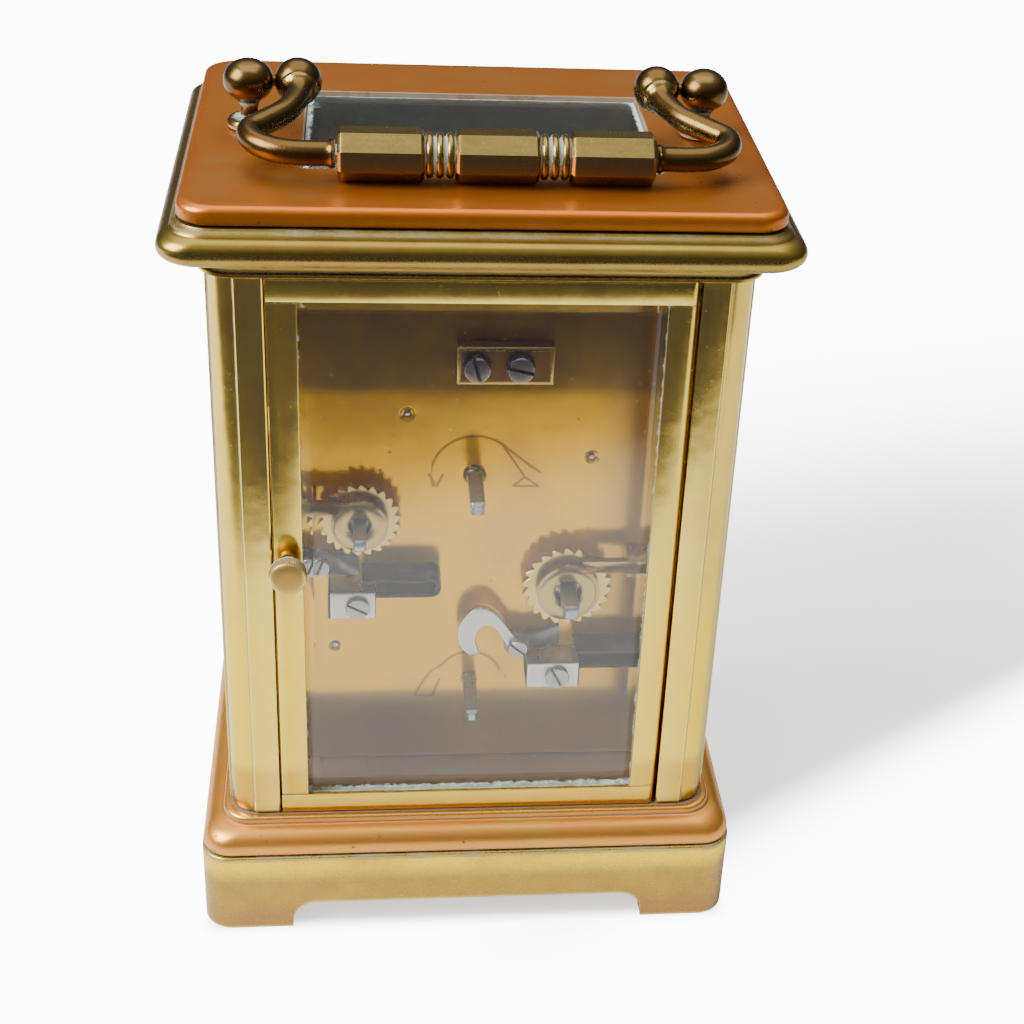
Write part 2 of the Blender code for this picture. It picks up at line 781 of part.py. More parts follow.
def handle_point(across, reach):
    """A place in the handle's plane at rest, lying back over the top plate."""
    dip = math.asin((pivot_height - grip_height) / HANDLE_REACH)
    shift = -HANDLE_LEAN * min(1.0, reach / HANDLE_REACH)
    return (across + shift, reach * math.cos(dip), pivot_height - reach * math.sin(dip))


def smooth_route(points, steps):
    """Points along a curve through the given ones, each a mean of two parabolas."""
    route = []
    padded = [points[0], *points, points[-1]]
    for before, start, end, after in zip(padded, padded[1:], padded[2:], padded[3:]):
        for i in range(steps):
            t = i / steps
            pull = (
                -t + 2 * t**2 - t**3,
                2 - 5 * t**2 + 3 * t**3,
                t + 4 * t**2 - 3 * t**3,
                t**3 - t**2,
            )
            route.append(
                tuple(
                    0.5 * sum(w * p[k] for w, p in zip(pull, (before, start, end, after)))
                    for k in range(2)
                )
            )
    return route + [points[-1]]


def build_handle():
    spacing = POST_SPACING / 2
    knuckle_x = spacing - POST_BALL_RADIUS - KNUCKLE_RADIUS - 0.0001
    axis = (0, 0, pivot_height)
    foot = top_top + SEAT_GAP
    middle = pivot_height
    grip_end = grip_half + SEAT_GAP
    bend = (
        (knuckle_x, 0.0015),
        (knuckle_x + 0.0005, 0.0055),
        (knuckle_x + 0.0024, 0.0098),
        (knuckle_x + 0.0055, 0.0132),
        (knuckle_x + 0.0079, 0.0160),
        (knuckle_x + 0.0072, 0.0192),
        (knuckle_x + 0.0046, 0.0214),
        (knuckle_x + 0.0012, HANDLE_REACH),
        (grip_end, HANDLE_REACH),
    )
    for side, sign in (("left", -1), ("right", 1)):
        profile = bulge((0, middle), (POST_BALL_RADIUS, POST_BALL_HEIGHT), 90, -62, 8)
        profile[0] = (0, middle + POST_BALL_HEIGHT)
        profile += [(0.0013, middle - 0.0041), (0.0013, foot + 0.0018), (0.0021, foot + 0.0013)]
        profile += [(POST_FOOT_RADIUS, foot + 0.0012), (POST_FOOT_RADIUS, foot), (0, foot)]
        post = turned(f"handle_post_{side}", profile, "Z", (sign * spacing, 0, 0), 18)
        ends = sorted((sign * spacing, sign * (knuckle_x - 0.0010)))
        trunnion = turned(
            f"trunnion_{side}",
            [(0, ends[1]), (TRUNNION_RADIUS, ends[1]), (TRUNNION_RADIUS, ends[0]), (0, ends[0])],
            "X",
            (0, 0, pivot_height),
            10,
        )
        finish(joined(post, trunnion), "bronze")
        route = [handle_point(sign * a, r) for a, r in smooth_route(bend, 2)]
        arm = tube(f"handle_arm_{side}", route, ARM_RADIUS)
        knuckle = ball(f"knuckle_{side}", (sign * knuckle_x, 0, pivot_height), KNUCKLE_RADIUS, 12)
        ends = sorted((sign * (spacing + 0.001), sign * (knuckle_x - 0.0012)))
        bore = hole_radius(TRUNNION_RADIUS)
        hole = turned(
            f"trunnion_hole_{side}",
            [(0, ends[1]), (bore, ends[1]), (bore, ends[0]), (0, ends[0])],
            "X",
            (0, 0, pivot_height),
            12,
        )
        finish(cut(joined(arm, knuckle), hole), "bronze", axis)

    centre = handle_point(0, HANDLE_REACH)
    middle_half = GRIP_MIDDLE / 2
    neck_end = middle_half + GRIP_NECK_LENGTH
    pieces = []
    for i, (start, end) in enumerate(
        ((-grip_half, -neck_end), (-middle_half, middle_half), (neck_end, grip_half))
    ):
        edge = 0.0004
        rings = []
        for x, inset in ((start, edge), (start + edge, 0), (end - edge, 0), (end, edge)):
            flat = circle((centre[1], centre[2]), GRIP_RADIUS - inset, 8, math.pi / 8)
            rings.append([(centre[0] + x, y, z) for y, z in flat])
        pieces.append(lofted(f"grip_facets_{i}", rings))
    x = grip_half - 0.0010
    profile = [(0, x), (GRIP_NECK_RADIUS, x)]
    for sign in (1, -1):
        start = sign * middle_half if sign < 0 else neck_end
        for i in range(3):
            ring = start - GRIP_NECK_LENGTH * (i + 0.5) / 3
            profile += [(GRIP_NECK_RADIUS, ring + 0.0006), (GRIP_NECK_RADIUS + 0.0005, ring)]
            profile.append((GRIP_NECK_RADIUS, ring - 0.0006))
    profile += [(GRIP_NECK_RADIUS, -x), (0, -x)]
    core = turned("handle_grip", profile, "X", centre, 12)
    finish(joined(core, *pieces), "bronze", axis)


def holed_plate(name, holes, low, high):
    half = PLATE_WIDTH / 2
    outlines = [rectangle((-half, plate_low), (half, plate_high))]
    outlines += [circle(arbor_place(at), hole_radius(radius), 12) for at, radius in holes]
    return extruded(name, outlines, "XZ", low, high)


def build_frame():
    pivots = [(at, PIVOT_RADIUS) for at in (SECOND_AT, THIRD_AT, ALARM_STAR_AT, HAMMER_AT)]
    holes = [
        (CENTRE_AT, CENTRE_ARBOR_RADIUS),
        (ALARM_SET_AT, SET_ARBOR_RADIUS),
        (GOING_AT, GOING_ARBOR_RADIUS),
        (ALARM_AT, ALARM_ARBOR_RADIUS),
        (CONTRATE_AT, PIVOT_RADIUS),
    ]
    minute_hole = (minute_at(), PIVOT_RADIUS)
    finish(holed_plate("back_plate", holes + pivots, back_front, back_rear), "brass")
    holes += [*pivots, minute_hole]
    finish(holed_plate("front_plate", holes, front_front, front_rear), "brass")
    reach = PLATE_WIDTH / 2 - PILLAR_MARGIN_X
    for level, z in (("lower", plate_low + PILLAR_LOW), ("upper", plate_high - PILLAR_HIGH)):
        for side, sign in (("left", -1), ("right", 1)):
            rear = back_front - SEAT_GAP
            front = front_rear + SEAT_GAP
            middle = (rear + front) / 2
            profile = [(0, rear), (PILLAR_RADIUS, rear), (PILLAR_RADIUS, rear - 0.002)]
            profile += [(PILLAR_RADIUS * 0.7, rear - 0.003), (PILLAR_RADIUS * 0.85, middle)]
            profile += [(PILLAR_RADIUS * 0.7, front + 0.003), (PILLAR_RADIUS, front + 0.002)]
            profile += [(PILLAR_RADIUS, front), (0, front)]
            finish(turned(f"pillar_{level}_{side}", profile, "Y", (sign * reach, 0, z), 12), "brass")


def minute_at():
    return (
        CENTRE_AT[0] + MOTION_CENTRES * math.cos(MINUTE_WHEEL_TURN),
        CENTRE_AT[1] + MOTION_CENTRES * math.sin(MINUTE_WHEEL_TURN),
    )


def barrel(name, at, drum_radius, drum_span, wheel_span, teeth, module, phase, bore):
    """A drum and its toothed wheel, free to turn on the winding arbor."""
    place = arbor_place(at)
    rear, front = drum_span
    drum = turned(
        name,
        [(bore, rear), (drum_radius - 0.0006, rear), (drum_radius, rear - 0.0006)]
        + [(drum_radius, front), (bore, front)],
        "Y",
        on_axis(place),
        24,
    )
    outline = moved(toothed(teeth, module, phase), place)
    wheel = extruded(
        name + "_wheel", [outline, circle(place, bore, 24)], "XZ", wheel_span[1], wheel_span[0] + 0.0002
    )
    return finish(joined(drum, wheel), "brass", on_axis(place))


def winding_arbor(name, at, radius, ratchet_radius, lean, front):
    """An arbor with its ratchet behind the back plate and a winding square at the rear."""
    place = arbor_place(at)
    ratchet = extruded(
        name, [moved(sawtoothed(RATCHET_TEETH, ratchet_radius, 0.0012, lean), place)], "XZ",
        ratchet_front, ratchet_front + RATCHET_THICKNESS,
    )
    winding_start = ratchet_front + 0.0042
    body = rod(name + "_body", place, radius, winding_start, front, 16)
    half = radius * SQUARE_SHARE
    square = extruded(
        name + "_square",
        [rectangle((place[0] - half, place[1] - half), (place[0] + half, place[1] + half))],
        "XZ",
        winding_start - 0.0005,
        square_tip,
    )
    return finish(joined(ratchet, body, square), "steel", on_axis(place))


def click(name, at, ratchet_at, ratchet_radius, nose_turn):
    """A pawl on its pivot screw: a round boss and a flat arm whose nose rides on the ratchet's tips."""
    place = arbor_place(at)
    ratchet = arbor_place(ratchet_at)
    reach = ratchet_radius + 2 * RUNNING_FIT
    nose = (ratchet[0] + reach * math.cos(nose_turn), ratchet[1] + reach * math.sin(nose_turn))
    rear = ratchet_front + RATCHET_THICKNESS
    boss = extruded(name, [circle(place, CLICK_BOSS_RADIUS, 16)], "XZ", ratchet_front, rear)
    side = 1 if place[0] > nose[0] else -1
    shoulder = (place[0] - side * 0.0006, place[1] + CLICK_BOSS_RADIUS - SEAT_GAP)
    below = (place[0] - side * 0.0006, place[1] - CLICK_BOSS_RADIUS + SEAT_GAP)
    arm = [nose, shoulder, below, (nose[0] - side * 0.0002, nose[1] - CLICK_ARM_HEIGHT)]
    skin = RUNNING_FIT
    blade = extruded(name + "_arm", [arm], "XZ", ratchet_front + skin, rear - skin)
    bore = hole_radius(CLICK_SCREW_RADIUS)
    hole = rod(name + "_hole", place, bore, rear + CUT_MARGIN, ratchet_front - CUT_MARGIN, 12)
    return finish(cut(joined(boss, blade), hole), "steel", on_axis(place))


def click_spring(name, bend_x, open_x, top, foot_x, foot_low):
    """A flat strip bent into a U lying on its side, ending in a block screwed to the back plate."""
    side = 1 if open_x > bend_x else -1
    leg = SPRING_THICKNESS
    radius = SPRING_OPENING / 2 + leg
    low = top - 2 * radius
    centre = (bend_x + side * radius, top - radius)
    start, end = (90, 270) if side > 0 else (90, -90)
    foot_inner, foot_outer = sorted(foot_x, key=lambda x: abs(x - bend_x))
    outline = [(open_x, top)]
    outline += arc(centre, radius, start, end, 8)
    outline += [(foot_inner, low), (foot_inner, foot_low), (foot_outer, foot_low)]
    outline += [(foot_outer, low + leg), *arc(centre, radius - leg, end, start, 8), (open_x, top - leg)]
    rear = back_rear + SEAT_GAP
    spring = extruded(name, [outline], "XZ", rear, rear + SPRING_WIDTH)
    return finish(spring, "steel")


def slotted_screw(name, x, z, head_radius, shank_radius, seat, depth):
    """A cheese-headed screw whose head sits at the seat and whose shank goes in towards -Y."""
    top = seat + SCREW_HEAD
    profile = [(0, top), (head_radius - 0.0003, top), (head_radius, top - 0.0003), (head_radius, seat)]
    profile += [(shank_radius, seat), (shank_radius, seat - depth), (0, seat - depth)]
    screw = turned(name, profile, "Y", (x, 0, z), 14)
    half = SCREW_SLOT / 2
    slot = box(name + "_slot", (x - 0.01, top - 0.0006, z - half), (x + 0.01, top + 0.001, z + half))
    return finish(cut(screw, slot), "steel")


def ratchet_cock(name, at, ring_radius, side, rise):
    """A curved bridge: a ring about the winding arbor and an arm to a foot at the plate's edge."""
    place = arbor_place(at)
    low = ratchet_front + RATCHET_THICKNESS + COCK_GAP
    high = low + COCK_THICKNESS
    ring = [circle(place, ring_radius, 24), circle(place, ring_radius - COCK_BAND, 20)]
    bridge = extruded(name, ring, "XZ", low, high)
    edge = side * (PLATE_WIDTH / 2 - 0.0003)
    inner = edge - side * COCK_FOOT
    height = place[1] + rise
    start = place[0] + side * (ring_radius - COCK_BAND / 2) * 0.5
    half = COCK_BAND * 0.7
    arm = [(start, height + half), (start + side * 0.0005, height - half * 0.6)]
    arm += [(edge, height - half), (edge, height + half)]
    band = extruded(name + "_arm", [arm], "XZ", low + RUNNING_FIT, high - RUNNING_FIT)
    foot_ends = sorted((inner, edge))
    rear = back_rear + SEAT_GAP
    foot = box(
        name + "_foot",
        (foot_ends[0], rear, height - half - 0.0006),
        (foot_ends[1], high - 2 * RUNNING_FIT, height + half + 0.0006),
    )
    return finish(joined(bridge, band, foot), "brass")


def build_back_work():
    """Ratchets, clicks, springs and cocks on the outside of the back plate."""
    going = arbor_place(GOING_CLICK_AT)
    alarm = arbor_place(ALARM_CLICK_AT)
    click("going_click", GOING_CLICK_AT, GOING_AT, GOING_RATCHET_RADIUS, math.radians(-83))
    click("alarm_click", ALARM_CLICK_AT, ALARM_AT, ALARM_RATCHET_RADIUS, math.radians(-88))
    edge = PLATE_WIDTH / 2
    going_top = going[1] - 0.0001
    alarm_top = alarm[1] - 0.0020
    click_spring(
        "going_click_spring", -edge - 0.0015, going[0] - 0.0100, going_top, GOING_SPRING_FOOT,
        going_top - 0.0072,
    )
    click_spring(
        "alarm_click_spring", 0.0054, alarm[0] - 0.0070, alarm_top, ALARM_SPRING_FOOT, alarm_top - 0.0077
    )
    seat = ratchet_front + RATCHET_THICKNESS + RUNNING_FIT
    for name, place in (("going_click_screw", going), ("alarm_click_screw", alarm)):
        depth = seat - back_rear - SEAT_GAP
        slotted_screw(name, place[0], place[1], CLICK_BOSS_RADIUS, CLICK_SCREW_RADIUS, seat, depth)
    ratchet_cock("going_ratchet_cock", GOING_AT, 0.0054, -1, 0.0050)
    ratchet_cock("alarm_ratchet_cock", ALARM_AT, 0.0047, 1, 0.0032)
    block_low = back_rear + SEAT_GAP
    block_high = block_low + BLOCK_THICKNESS
    centre_x, centre_z = arbor_place(BLOCK_AT)
    half_x = BLOCK_WIDTH / 2
    half_z = BLOCK_HEIGHT / 2
    block = box(
        "contrate_end_block",
        (centre_x - half_x, block_low, centre_z - half_z),
        (centre_x + half_x, block_high, centre_z + half_z),
    )
    holes = []
    for i, (offset, head) in enumerate(((0.0046, 0.00265), (-0.0024, 0.00225))):
        side = "left" if i else "right"
        x = centre_x + offset
        shank = 0.0009
        bore = hole_radius(shank)
        hole_name = f"block_hole_{side}"
        holes.append(
            rod(hole_name, (x, centre_z), bore, block_high + CUT_MARGIN, block_low - CUT_MARGIN, 12)
        )
        seat = block_high + RUNNING_FIT
        slotted_screw(f"block_screw_{side}", x, centre_z, head, shank, seat, BLOCK_THICKNESS)
    finish(cut(block, *holes), "brass")


def wheel_on_arbor(name, at, wheel, pinion):
    """A wheel and a pinion fixed on one pivoted arbor. Each is (teeth, module, phase, rear, front)."""
    place = arbor_place(at)
    body = pivoted_rod(name, place, ARBOR_RADIUS, back_front, front_rear)
    pieces = []
    for part, label in ((wheel, "_wheel"), (pinion, "_pinion")):
        teeth, module, phase, part_rear, part_front = part
        pieces.append(gear(name + label, place, teeth, module, phase, part_rear, part_front))
    return joined(body, *pieces)


def build_going_train():
    going, second, centre = arbor_place(GOING_AT), arbor_place(SECOND_AT), arbor_place(CENTRE_AT)
    third, contrate = arbor_place(THIRD_AT), arbor_place(CONTRATE_AT)
    great_module = 2 * distance(going, second) / (GREAT_TEETH + SECOND_PINION)
    second_module = 2 * distance(second, centre) / (SECOND_TEETH + CENTRE_PINION)
    centre_module = 2 * distance(centre, third) / (CENTRE_TEETH + THIRD_PINION)
    third_module = 2 * distance(third, contrate) / (THIRD_TEETH + CONTRATE_PINION)
    great_phase, second_pinion_phase = mesh_phases(going, second, SECOND_PINION)
    second_phase, centre_pinion_phase = mesh_phases(second, centre, CENTRE_PINION)
    centre_phase, third_pinion_phase = mesh_phases(centre, third, THIRD_PINION)
    third_phase, contrate_pinion_phase = mesh_phases(third, contrate, CONTRATE_PINION)

    great_front = front_rear + 0.0029
    drum_front = great_front + 0.0017
    drum_rear = back_front - GOING_DRUM_INSET
    bore = hole_radius(GOING_ARBOR_RADIUS)
    barrel(
        "going_barrel", GOING_AT, GOING_DRUM_RADIUS, (drum_rear, drum_front), (drum_front, great_front),
        GREAT_TEETH, great_module, great_phase, bore,
    )
    winding_arbor(
        "going_winding_arbor", GOING_AT, GOING_ARBOR_RADIUS, GOING_RATCHET_RADIUS, RATCHET_LEAN,
        front_front + ARBOR_END_INSET,
    )
    second_front = front_rear + 0.0005
    second_rear = second_front + WHEEL_THICKNESS
    wheel = (SECOND_TEETH, second_module, second_phase, second_rear, second_front)
    pinion = (SECOND_PINION, great_module, second_pinion_phase, drum_front + 0.0004, great_front - 0.0004)
    finish(wheel_on_arbor("second_wheel", SECOND_AT, wheel, pinion), "brass", on_axis(second))

    centre_rear = back_front - 0.0017
    centre_front = centre_rear - WHEEL_THICKNESS
    body = rod("centre_wheel", centre, CENTRE_ARBOR_RADIUS, square_start, minute_rear, 16)
    pin_radius = CENTRE_ARBOR_RADIUS * HAND_PIN_SHARE
    pin_end = minute_rear - 2 * HAND_THICKNESS - SEAT_GAP
    pieces = [
        set_square("hand_square", centre, CENTRE_ARBOR_RADIUS),
        rod("hand_pin", centre, pin_radius, minute_rear + SKIN, pin_end),
        gear("centre_teeth", centre, CENTRE_TEETH, centre_module, centre_phase, centre_rear, centre_front),
        gear(
            "centre_leaves", centre, CENTRE_PINION, second_module, centre_pinion_phase,
            second_rear + SKIN, second_front - SKIN,
        ),
    ]
    cannon_module = 2 * MOTION_CENTRES / (CANNON_TEETH + MINUTE_TEETH)
    minute = arbor_place(minute_at())
    minute_phase, cannon_phase = mesh_phases(minute, centre, CANNON_TEETH)
    cannon_rear = front_front - 0.0007
    cannon_front = cannon_rear - 0.0008
    pieces.append(
        gear(
            "cannon_leaves", centre, CANNON_TEETH, cannon_module, cannon_phase,
            cannon_rear + SKIN, cannon_front - SKIN,
        )
    )
    finish(joined(body, *pieces), "brass", on_axis(centre))

    hour_module = 2 * MOTION_CENTRES / (MINUTE_PINION + HOUR_TEETH)
    hour_phase, minute_pinion_phase = mesh_phases(centre, minute, MINUTE_PINION)
    hour_rear = cannon_front - 0.0005
    hour_front = hour_rear - 0.0008
    minute_body = rod(
        "minute_wheel", minute, PIVOT_RADIUS, front_front + PLATE_THICKNESS / 2, hour_front - SKIN, 10
    )
    minute_pieces = [
        gear("minute_teeth", minute, MINUTE_TEETH, cannon_module, minute_phase, cannon_rear, cannon_front),
        gear(
            "minute_leaves", minute, MINUTE_PINION, hour_module, minute_pinion_phase,
            cannon_front + SKIN, hour_front - SKIN,
        ),
    ]
    finish(joined(minute_body, *minute_pieces), "brass", on_axis(minute))

    pipe_bore = hole_radius(CENTRE_ARBOR_RADIUS)
    pipe_radius = pipe_bore + PIPE_WALL
    pipe = turned(
        "hour_hand",
        [(pipe_bore, hour_rear), (pipe_radius, hour_rear)]
        + [(pipe_radius, hand_rear - HAND_THICKNESS), (pipe_bore, hand_rear - HAND_THICKNESS)],
        "Y",
        on_axis(centre),
        16,
    )
    hour_outline = moved(toothed(HOUR_TEETH, hour_module, hour_phase), centre)
    bore = pipe_bore + SKIN
    hour_teeth = extruded(
        "hour_teeth", [hour_outline, circle(centre, bore, 16)], "XZ", hour_front, hour_rear - SKIN / 2
    )
    hand = hand_shape("hour_blade", centre, DIAL_RADIUS * HOUR_REACH, bore, HOUR_TURN, hand_rear)
    finish(joined(pipe, hour_teeth, hand), "brass", on_axis(centre))
    reach = DIAL_RADIUS * MINUTE_REACH
    bore = hole_radius(pin_radius)
    rear = minute_rear - SEAT_GAP
    minute_hand = hand_shape("minute_hand", centre, reach, bore, MINUTE_TURN, rear)
    finish(minute_hand, "blued", on_axis(centre))

    wheel_rear = back_front - 0.0047
    wheel = (THIRD_TEETH, third_module, third_phase, wheel_rear, wheel_rear - WHEEL_THICKNESS)
    pinion = (THIRD_PINION, centre_module, third_pinion_phase, centre_rear + SKIN, centre_front - SKIN)
    finish(wheel_on_arbor("third_wheel", THIRD_AT, wheel, pinion), "brass", on_axis(third))
    build_contrate(contrate, third_module, contrate_pinion_phase, wheel_rear)


def build_contrate(place, pinion_module, pinion_phase, pinion_rear):
    """The crown wheel under the platform and the escape wheel that it drives."""
    disc_rear = front_rear + 0.0086
    body = pivoted_rod("contrate_wheel", place, ARBOR_RADIUS, back_front, front_rear)
    pinion = gear(
        "contrate_leaves", place, CONTRATE_PINION, pinion_module, pinion_phase,
        pinion_rear + SKIN, pinion_rear - WHEEL_THICKNESS - SKIN,
    )
    rim = 0.0008
    outer = CONTRATE_RADIUS + rim / 2
    inner = CONTRATE_RADIUS - rim / 2
    disc = turned(
        "contrate_disc",
        [(0, disc_rear), (inner - 0.0004, disc_rear), (inner - 0.0004, disc_rear + 0.0004)]
        + [(outer, disc_rear + 0.0004), (outer, disc_rear - 0.0010), (0, disc_rear - 0.0010)],
        "Y",
        on_axis(place),
        21,
    )
    pitch = 2 * math.pi / CONTRATE_TEETH
    crown = crown_teeth("crown_teeth", place, inner, outer, disc_rear + 0.0003, disc_rear + 0.0009, pitch)
    finish(joined(body, pinion, disc, crown), "brass", on_axis(place))

    module = CONTRATE_RADIUS * pitch / math.pi
    pitch_radius = module * ESCAPE_PINION / 2
    arbor_y = disc_rear + 0.0009 + pitch_radius - 0.7 * module
    top = plate_high + SEAT_GAP + PLATFORM_THICKNESS
    wheel_low = top + 0.0016
    x = place[0]
    high = place[1] + outer
    leaves = extruded(
        "escape_leaves",
        [moved(toothed(ESCAPE_PINION, module, math.pi / 2 + math.pi / ESCAPE_PINION), (x, arbor_y))],
        "XY",
        high - 0.0018,
        high + 0.0012,
    )
    staff_top = wheel_low + ESCAPE_STAFF_RISE
    staff_end = high + ESCAPE_STAFF_INSET
    staff_profile = [(0, staff_top), (PIVOT_RADIUS, staff_top)]
    staff_profile += [(PIVOT_RADIUS, staff_end), (0, staff_end)]
    staff = turned("escape_wheel", staff_profile, "Z", (x, arbor_y, 0), 8)
    teeth = sawtoothed(ESCAPE_TEETH, ESCAPE_RADIUS, 0.0011, 0.25)
    rim_wheel = extruded("escape_teeth", [moved(teeth, (x, arbor_y))], "XY", wheel_low, wheel_low + 0.0005)
    finish(joined(staff, leaves, rim_wheel), "brass", (x, arbor_y, wheel_low))
    build_platform(x, arbor_y, top, wheel_low)


def crown_teeth(name, place, inner, outer, low, high, pitch):
    """A ring of teeth that stand up from a wheel's rim along +Y, thinner at their tips."""
    shape = bmesh.new()
    base = low - 0.0001
    ring = []
    for i in range(CONTRATE_TEETH):
        middle = math.pi / 2 + i * pitch
        for share, y in ((0.0, high), (0.5, low + 0.0001)):
            ring.append((middle + share * pitch, y))
    loops = []
    for radius, level in ((inner, None), (outer, None), (outer, base), (inner, base)):
        loop = []
        for angle, y in ring:
            point = (
                place[0] + radius * math.cos(angle),
                y if level is None else level,
                place[1] + radius * math.sin(angle),
            )
            loop.append(shape.verts.new(point))
        loops.append(loop)
    count = len(ring)
    for a, b in zip(loops, loops[1:] + loops[:1]):
        for i in range(count):
            j = (i + 1) % count
            shape.faces.new((a[i], a[j], b[j], b[i]))
    return mesh_object(name, shape)


def build_platform(escape_x, escape_y, top, wheel_low):
    """The platform that carries the lever and the balance on top of the plates."""
    low = plate_high + SEAT_GAP
    half = PLATFORM_SPAN / 2
    balance = (escape_x + BALANCE_OFFSET, escape_y)
    lever_at = (escape_x + ESCAPE_RADIUS + 0.0016, escape_y)
    centre_x = (escape_x + balance[0]) / 2 + 0.0008
    outline = rectangle((centre_x - half, front_front), (centre_x + half, back_rear))
    holes = [
        circle((escape_x, escape_y), hole_radius(PIVOT_RADIUS), 12),
        circle(balance, hole_radius(PIVOT_RADIUS), 12),
        circle(lever_at, hole_radius(PIVOT_RADIUS), 12),
    ]
    finish(extruded("platform", [outline, *holes], "XY", low, top), "nickel")

    tip = wheel_low + BALANCE_STAFF_TIP
    shoulder = wheel_low + BALANCE_SHOULDER
    shoulder_foot = top + BALANCE_END_GAP
    staff_foot = low + BALANCE_END_GAP
    staff = [(0, tip), (PIVOT_RADIUS, tip), (PIVOT_RADIUS, shoulder)]
    staff += [(BALANCE_STAFF_RADIUS, shoulder), (BALANCE_STAFF_RADIUS, shoulder_foot)]
    staff += [(PIVOT_RADIUS, shoulder_foot), (PIVOT_RADIUS, staff_foot), (0, staff_foot)]
    wheel = turned("balance_wheel", staff, "Z", (*balance, 0), 10)
    rim_low = wheel_low + 0.0016
    rim = turned(
        "balance_rim",
        [(BALANCE_RADIUS - 0.0009, rim_low + 0.0010), (BALANCE_RADIUS, rim_low + 0.0010)]
        + [(BALANCE_RADIUS, rim_low), (BALANCE_RADIUS - 0.0009, rim_low)],
        "Z",
        (*balance, 0),
        32,
    )
    reach = BALANCE_RADIUS - 0.0004
    arm = box(
        "balance_arm",
        (balance[0] - reach, balance[1] - 0.0006, rim_low + 0.0003),
        (balance[0] + reach, balance[1] + 0.0006, rim_low + 0.0008),
    )
    finish(joined(wheel, rim, arm), "brass", (*balance, rim_low))

    gap = RUNNING_FIT
    tip = ESCAPE_RADIUS + gap
    inner = (escape_x + tip, escape_y)
    body = [(inner[0], escape_y - 0.0022), (inner[0] + 0.0010, escape_y - 0.0022)]
    body += [(lever_at[0] + 0.0008, escape_y - 0.0006), (balance[0] - 0.0012 - gap, escape_y - 0.0003)]
    body += [(x, 2 * escape_y - y) for x, y in reversed(body)]
    lever = extruded("pallet_lever", [body], "XY", wheel_low, wheel_low + 0.0005)
    staff = [(0, wheel_low + 0.0010), (PIVOT_RADIUS, wheel_low + 0.0010), (PIVOT_RADIUS, low + 0.0004)]
    staff += [(0, low + 0.0004)]
    lever_staff = turned("lever_staff", staff, "Z", (*lever_at, 0), 8)
    finish(joined(lever, lever_staff), "steel", (*lever_at, wheel_low))

    cock_low = wheel_low + 0.0046
    foot_x = balance[0] + BALANCE_RADIUS + 0.0009
    foot_end = centre_x + half - SEAT_GAP
    arm = [(foot_end, balance[1] - 0.0036), (foot_end, balance[1] + 0.0036)]
    arm += [(foot_x, balance[1] + 0.0036), (balance[0] + 0.001, balance[1] + 0.0022)]
    arm += arc(balance, 0.0022, 100, 260, 6)
    arm += [(balance[0] + 0.001, balance[1] - 0.0022), (foot_x, balance[1] - 0.0036)]
    cock = extruded("balance_cock", [arm], "XY", cock_low, cock_low + 0.0012)
    foot = box(
        "cock_foot",
        (foot_x, balance[1] - 0.0034, top + SEAT_GAP),
        (foot_end - RUNNING_FIT, balance[1] + 0.0034, cock_low + 0.0006),
    )
    finish(joined(cock, foot), "nickel")


def set_square(name, place, radius):
    """The squared rear end of an arbor that a key turns."""
    half = radius * SET_SQUARE_SHARE
    outline = rectangle((place[0] - half, place[1] - half), (place[0] + half, place[1] + half))
    return extruded(name, [outline], "XZ", square_start - SKIN, square_tip - SQUARE_TIP_GAP)


def hand_shape(name, centre, length, bore, turn, rear):
    """A plain spade hand: a boss with a hole, a tapering stem and a pointed tip."""
    boss = max(bore + 0.0010, length * 0.10)
    stem = length * 0.03
    spade = length * 0.085
    outline = arc((0, 0), boss, 12, 348, 14)
    outline += [(length * 0.62, -stem), (length * 0.72, -spade), (length, 0.0)]
    outline += [(length * 0.72, spade), (length * 0.62, stem)]
    cos, sin = math.cos(turn + math.pi / 2), math.sin(turn + math.pi / 2)
    outline = [(centre[0] + x * cos - y * sin, centre[1] + x * sin + y * cos) for x, y in outline]
    return extruded(name, [outline, circle(centre, bore, 12)], "XZ", rear - HAND_THICKNESS, rear)


def hammer_y():
    return back_front - 0.0047


def hammer_head_place():
    rim = math.sqrt(BELL_RADIUS**2 - hammer_y() ** 2)
    return (rim + HAMMER_GAP + HAMMER_HEAD_RADIUS, BELL_LOW + 0.0012)


def hammer_bend():
    x, z = arbor_place(HAMMER_AT)
    return (x + HAMMER_BEND[0], z + HAMMER_BEND[1])


def hammer_stem_across(z):
    """How far across the stem is at this height below its bend."""
    bend, head = hammer_bend(), hammer_head_place()
    return bend[0] + (head[0] - bend[0]) * (bend[1] - z) / (bend[1] - head[1])


